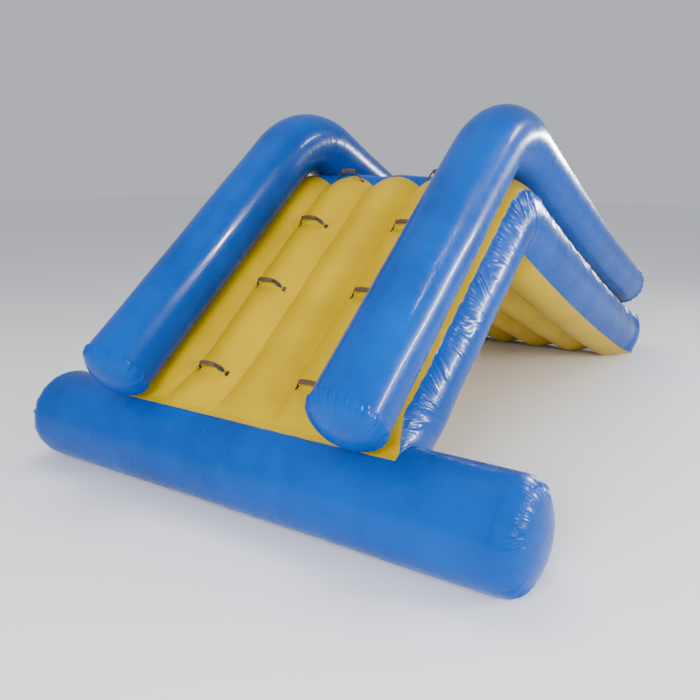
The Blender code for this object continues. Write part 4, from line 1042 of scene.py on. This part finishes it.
LOW, FACE, TOP, FLOOR, INNER = 0.0003, 0.0023, 0.0048, -0.0150, -0.0165
BODY = [(0.0205, LOW), (0.034, LOW), (0.034, FACE), (0.0325, FACE + 0.0004), (0.030, TOP), (0.0150, TOP),
        (0.0150, FLOOR), (0.0032, FLOOR), (0.0032, INNER), (0.0205, INNER)]
CAP = [(0, 0.0121), (0.0245, 0.0121), (0.027, 0.0104), (0.027, 0.0051), (0.0135, 0.0051), (0.0135, -0.0004),
       (0, -0.0004)]
FLAP = [(0, -0.0129), (0.0050, -0.0129), (0.0050, -0.0147), (0.0030, -0.0147), (0.0030, -0.0168),
        (0.0148, -0.0168), (0.0148, -0.0175), (0.0110, -0.0180), (0, -0.0180)]


def turn_rib(name, place):
    """The finger rib across a cap, waisted in the middle."""
    x = np.linspace(-0.020, 0.020, 25)
    half = 0.0030 - 0.0008 * np.cos(math.pi * x / 0.04) ** 2
    outline = np.array([(1, 0.0118), (1, 0.0160), (0.8, 0.0174), (0.3, 0.0180), (-0.3, 0.0180), (-0.8, 0.0174),
                        (-1, 0.0160), (-1, 0.0118)])
    shrink = np.sqrt(np.clip(1 - ((np.abs(x) - 0.017).clip(0) / 0.0031) ** 2, 0.02, 1))
    points = stacked(x[:, None], (half * shrink)[:, None] * outline[:, 0], outline[:, 1])
    index = numbered(points)
    mesh = new_mesh(name, placed(points, place), quads(wrapped(index)).tolist() + index[[0, -1]].tolist())
    mended(mesh, outwards=True)
    return linked(name, mesh, valve_plastic)


for word in ("mat", "float", "rail_left", "rail_right"):
    title = f"valve_{word}"
    joint = joints[f"{title}_cap_turn"]
    out = Vector(joint["axis"]).normalized()
    side = Vector((1, 0, 0)) if abs(out.x) < 0.5 else Vector((0, 1, 0))
    place = framed(side, out.cross(side), out, joint["pos_m"])
    dress(turned(f"{title}_socket", rounded(BODY), place, valve_plastic), f"{title}_body")
    dress(turned(f"{title}_leaf", rounded(FLAP, 0.0003), place, valve_rubber), f"{title}_flap")
    lid = join(f"{title}_lid", [turned("lid", rounded(CAP), place, valve_plastic), turn_rib("rib", place)])
    dress(lid, f"{title}_cap", f"{title}_cap")

# %% [markdown]
# A pale floor and soft lights. The long bright lines on the tubes come from lights that the fabric mirrors
# but that don't light its colour, and the camera stands where the photographer stood.

# %% Floor, light and camera
FLOOR_HALF = 40
pale = bpy.data.materials.new("pale floor")
pale.use_nodes = True
add(pale.node_tree, pale.node_tree.nodes["Principled BSDF"], {"Base Color": linear("F6F7F8"), "Roughness": 0.9})
floor_corners = [(x * FLOOR_HALF, y * FLOOR_HALF, 0) for x, y in ((-1, -1), (1, -1), (1, 1), (-1, 1))]
linked("floor", new_mesh("floor", floor_corners, [(0, 1, 2, 3)]), pale)


def lamp(name, place, aim, size, power, shine=True, glow=True, spread=math.pi):
    """A rectangular light; shine lets the fabric mirror it, and glow lets it light the colours."""
    data = bpy.data.lights.new(name, "AREA")
    data.shape, data.size, data.size_y = "RECTANGLE", *size
    data.energy, data.spread = power, spread
    obj = linked(name, data)
    place, aim = Vector(place), Vector(aim)
    obj.matrix_world = Matrix.LocRotScale(place, (aim - place).to_track_quat("-Z", "Y"), None)
    obj.visible_glossy, obj.visible_diffuse = shine, glow


middle = (0, 1.8, 0.9)
lamp("key from the right", (8.0, 2.6, 2.4), middle, (4.0, 0.3), 420, shine=False)
lamp("shine of the key", (7.0, 5.0, 2.6), middle, (4.5, 0.3), 1350, glow=False)
lamp("shine of the sky behind the right", (5.0, 6.5, 6.0), middle, (2.0, 0.5), 300, glow=False)
lamp("shine from low behind", (2.6, 9.5, 3.0), (0.9, 3.0, 1.2), (3.5, 0.5), 700, glow=False)
lamp("shine from the front right", (7.0, -1.8, 2.6), (1.5, -0.2, 0.3), (0.8, 0.5), 350, glow=False)
lamp("shine on the left rail", (5.6, 1.8, 6.0), (-0.70, 0.35, 1.0), (0.45, 0.12), 9, glow=False,
     spread=math.radians(16))
lamp("side light from the front right", (6.5, -3.6, 3.0), middle, (1.0, 1.0), 260, shine=False)
lamp("soft light overhead", (-1.0, 1.5, 7.5), middle, (4.0, 4.0), 260, shine=False)
lamp("fill from the front", (2.5, -7.0, 4.0), middle, (3.0, 2.5), 700, shine=False)
world = bpy.data.worlds.new("studio")
bpy.context.scene.world = world
world.use_nodes = True
add(world.node_tree, world.node_tree.nodes["Background"], {"Color": linear("F4F7FF"), "Strength": 0.6})

camera = linked("camera", bpy.data.cameras.new("camera"))
camera.data.lens, camera.data.sensor_width = 37.75, 36.0
yaw, pitch = 0.5855, 0.2409
ahead = Vector((-math.sin(yaw) * math.cos(pitch), math.cos(yaw) * math.cos(pitch), -math.sin(pitch)))
right = Vector((math.cos(yaw), math.sin(yaw), 0))
camera.matrix_world = framed(right, right.cross(ahead), -ahead, (2.6123, -2.9209, 1.8814))
bpy.context.scene.camera = camera
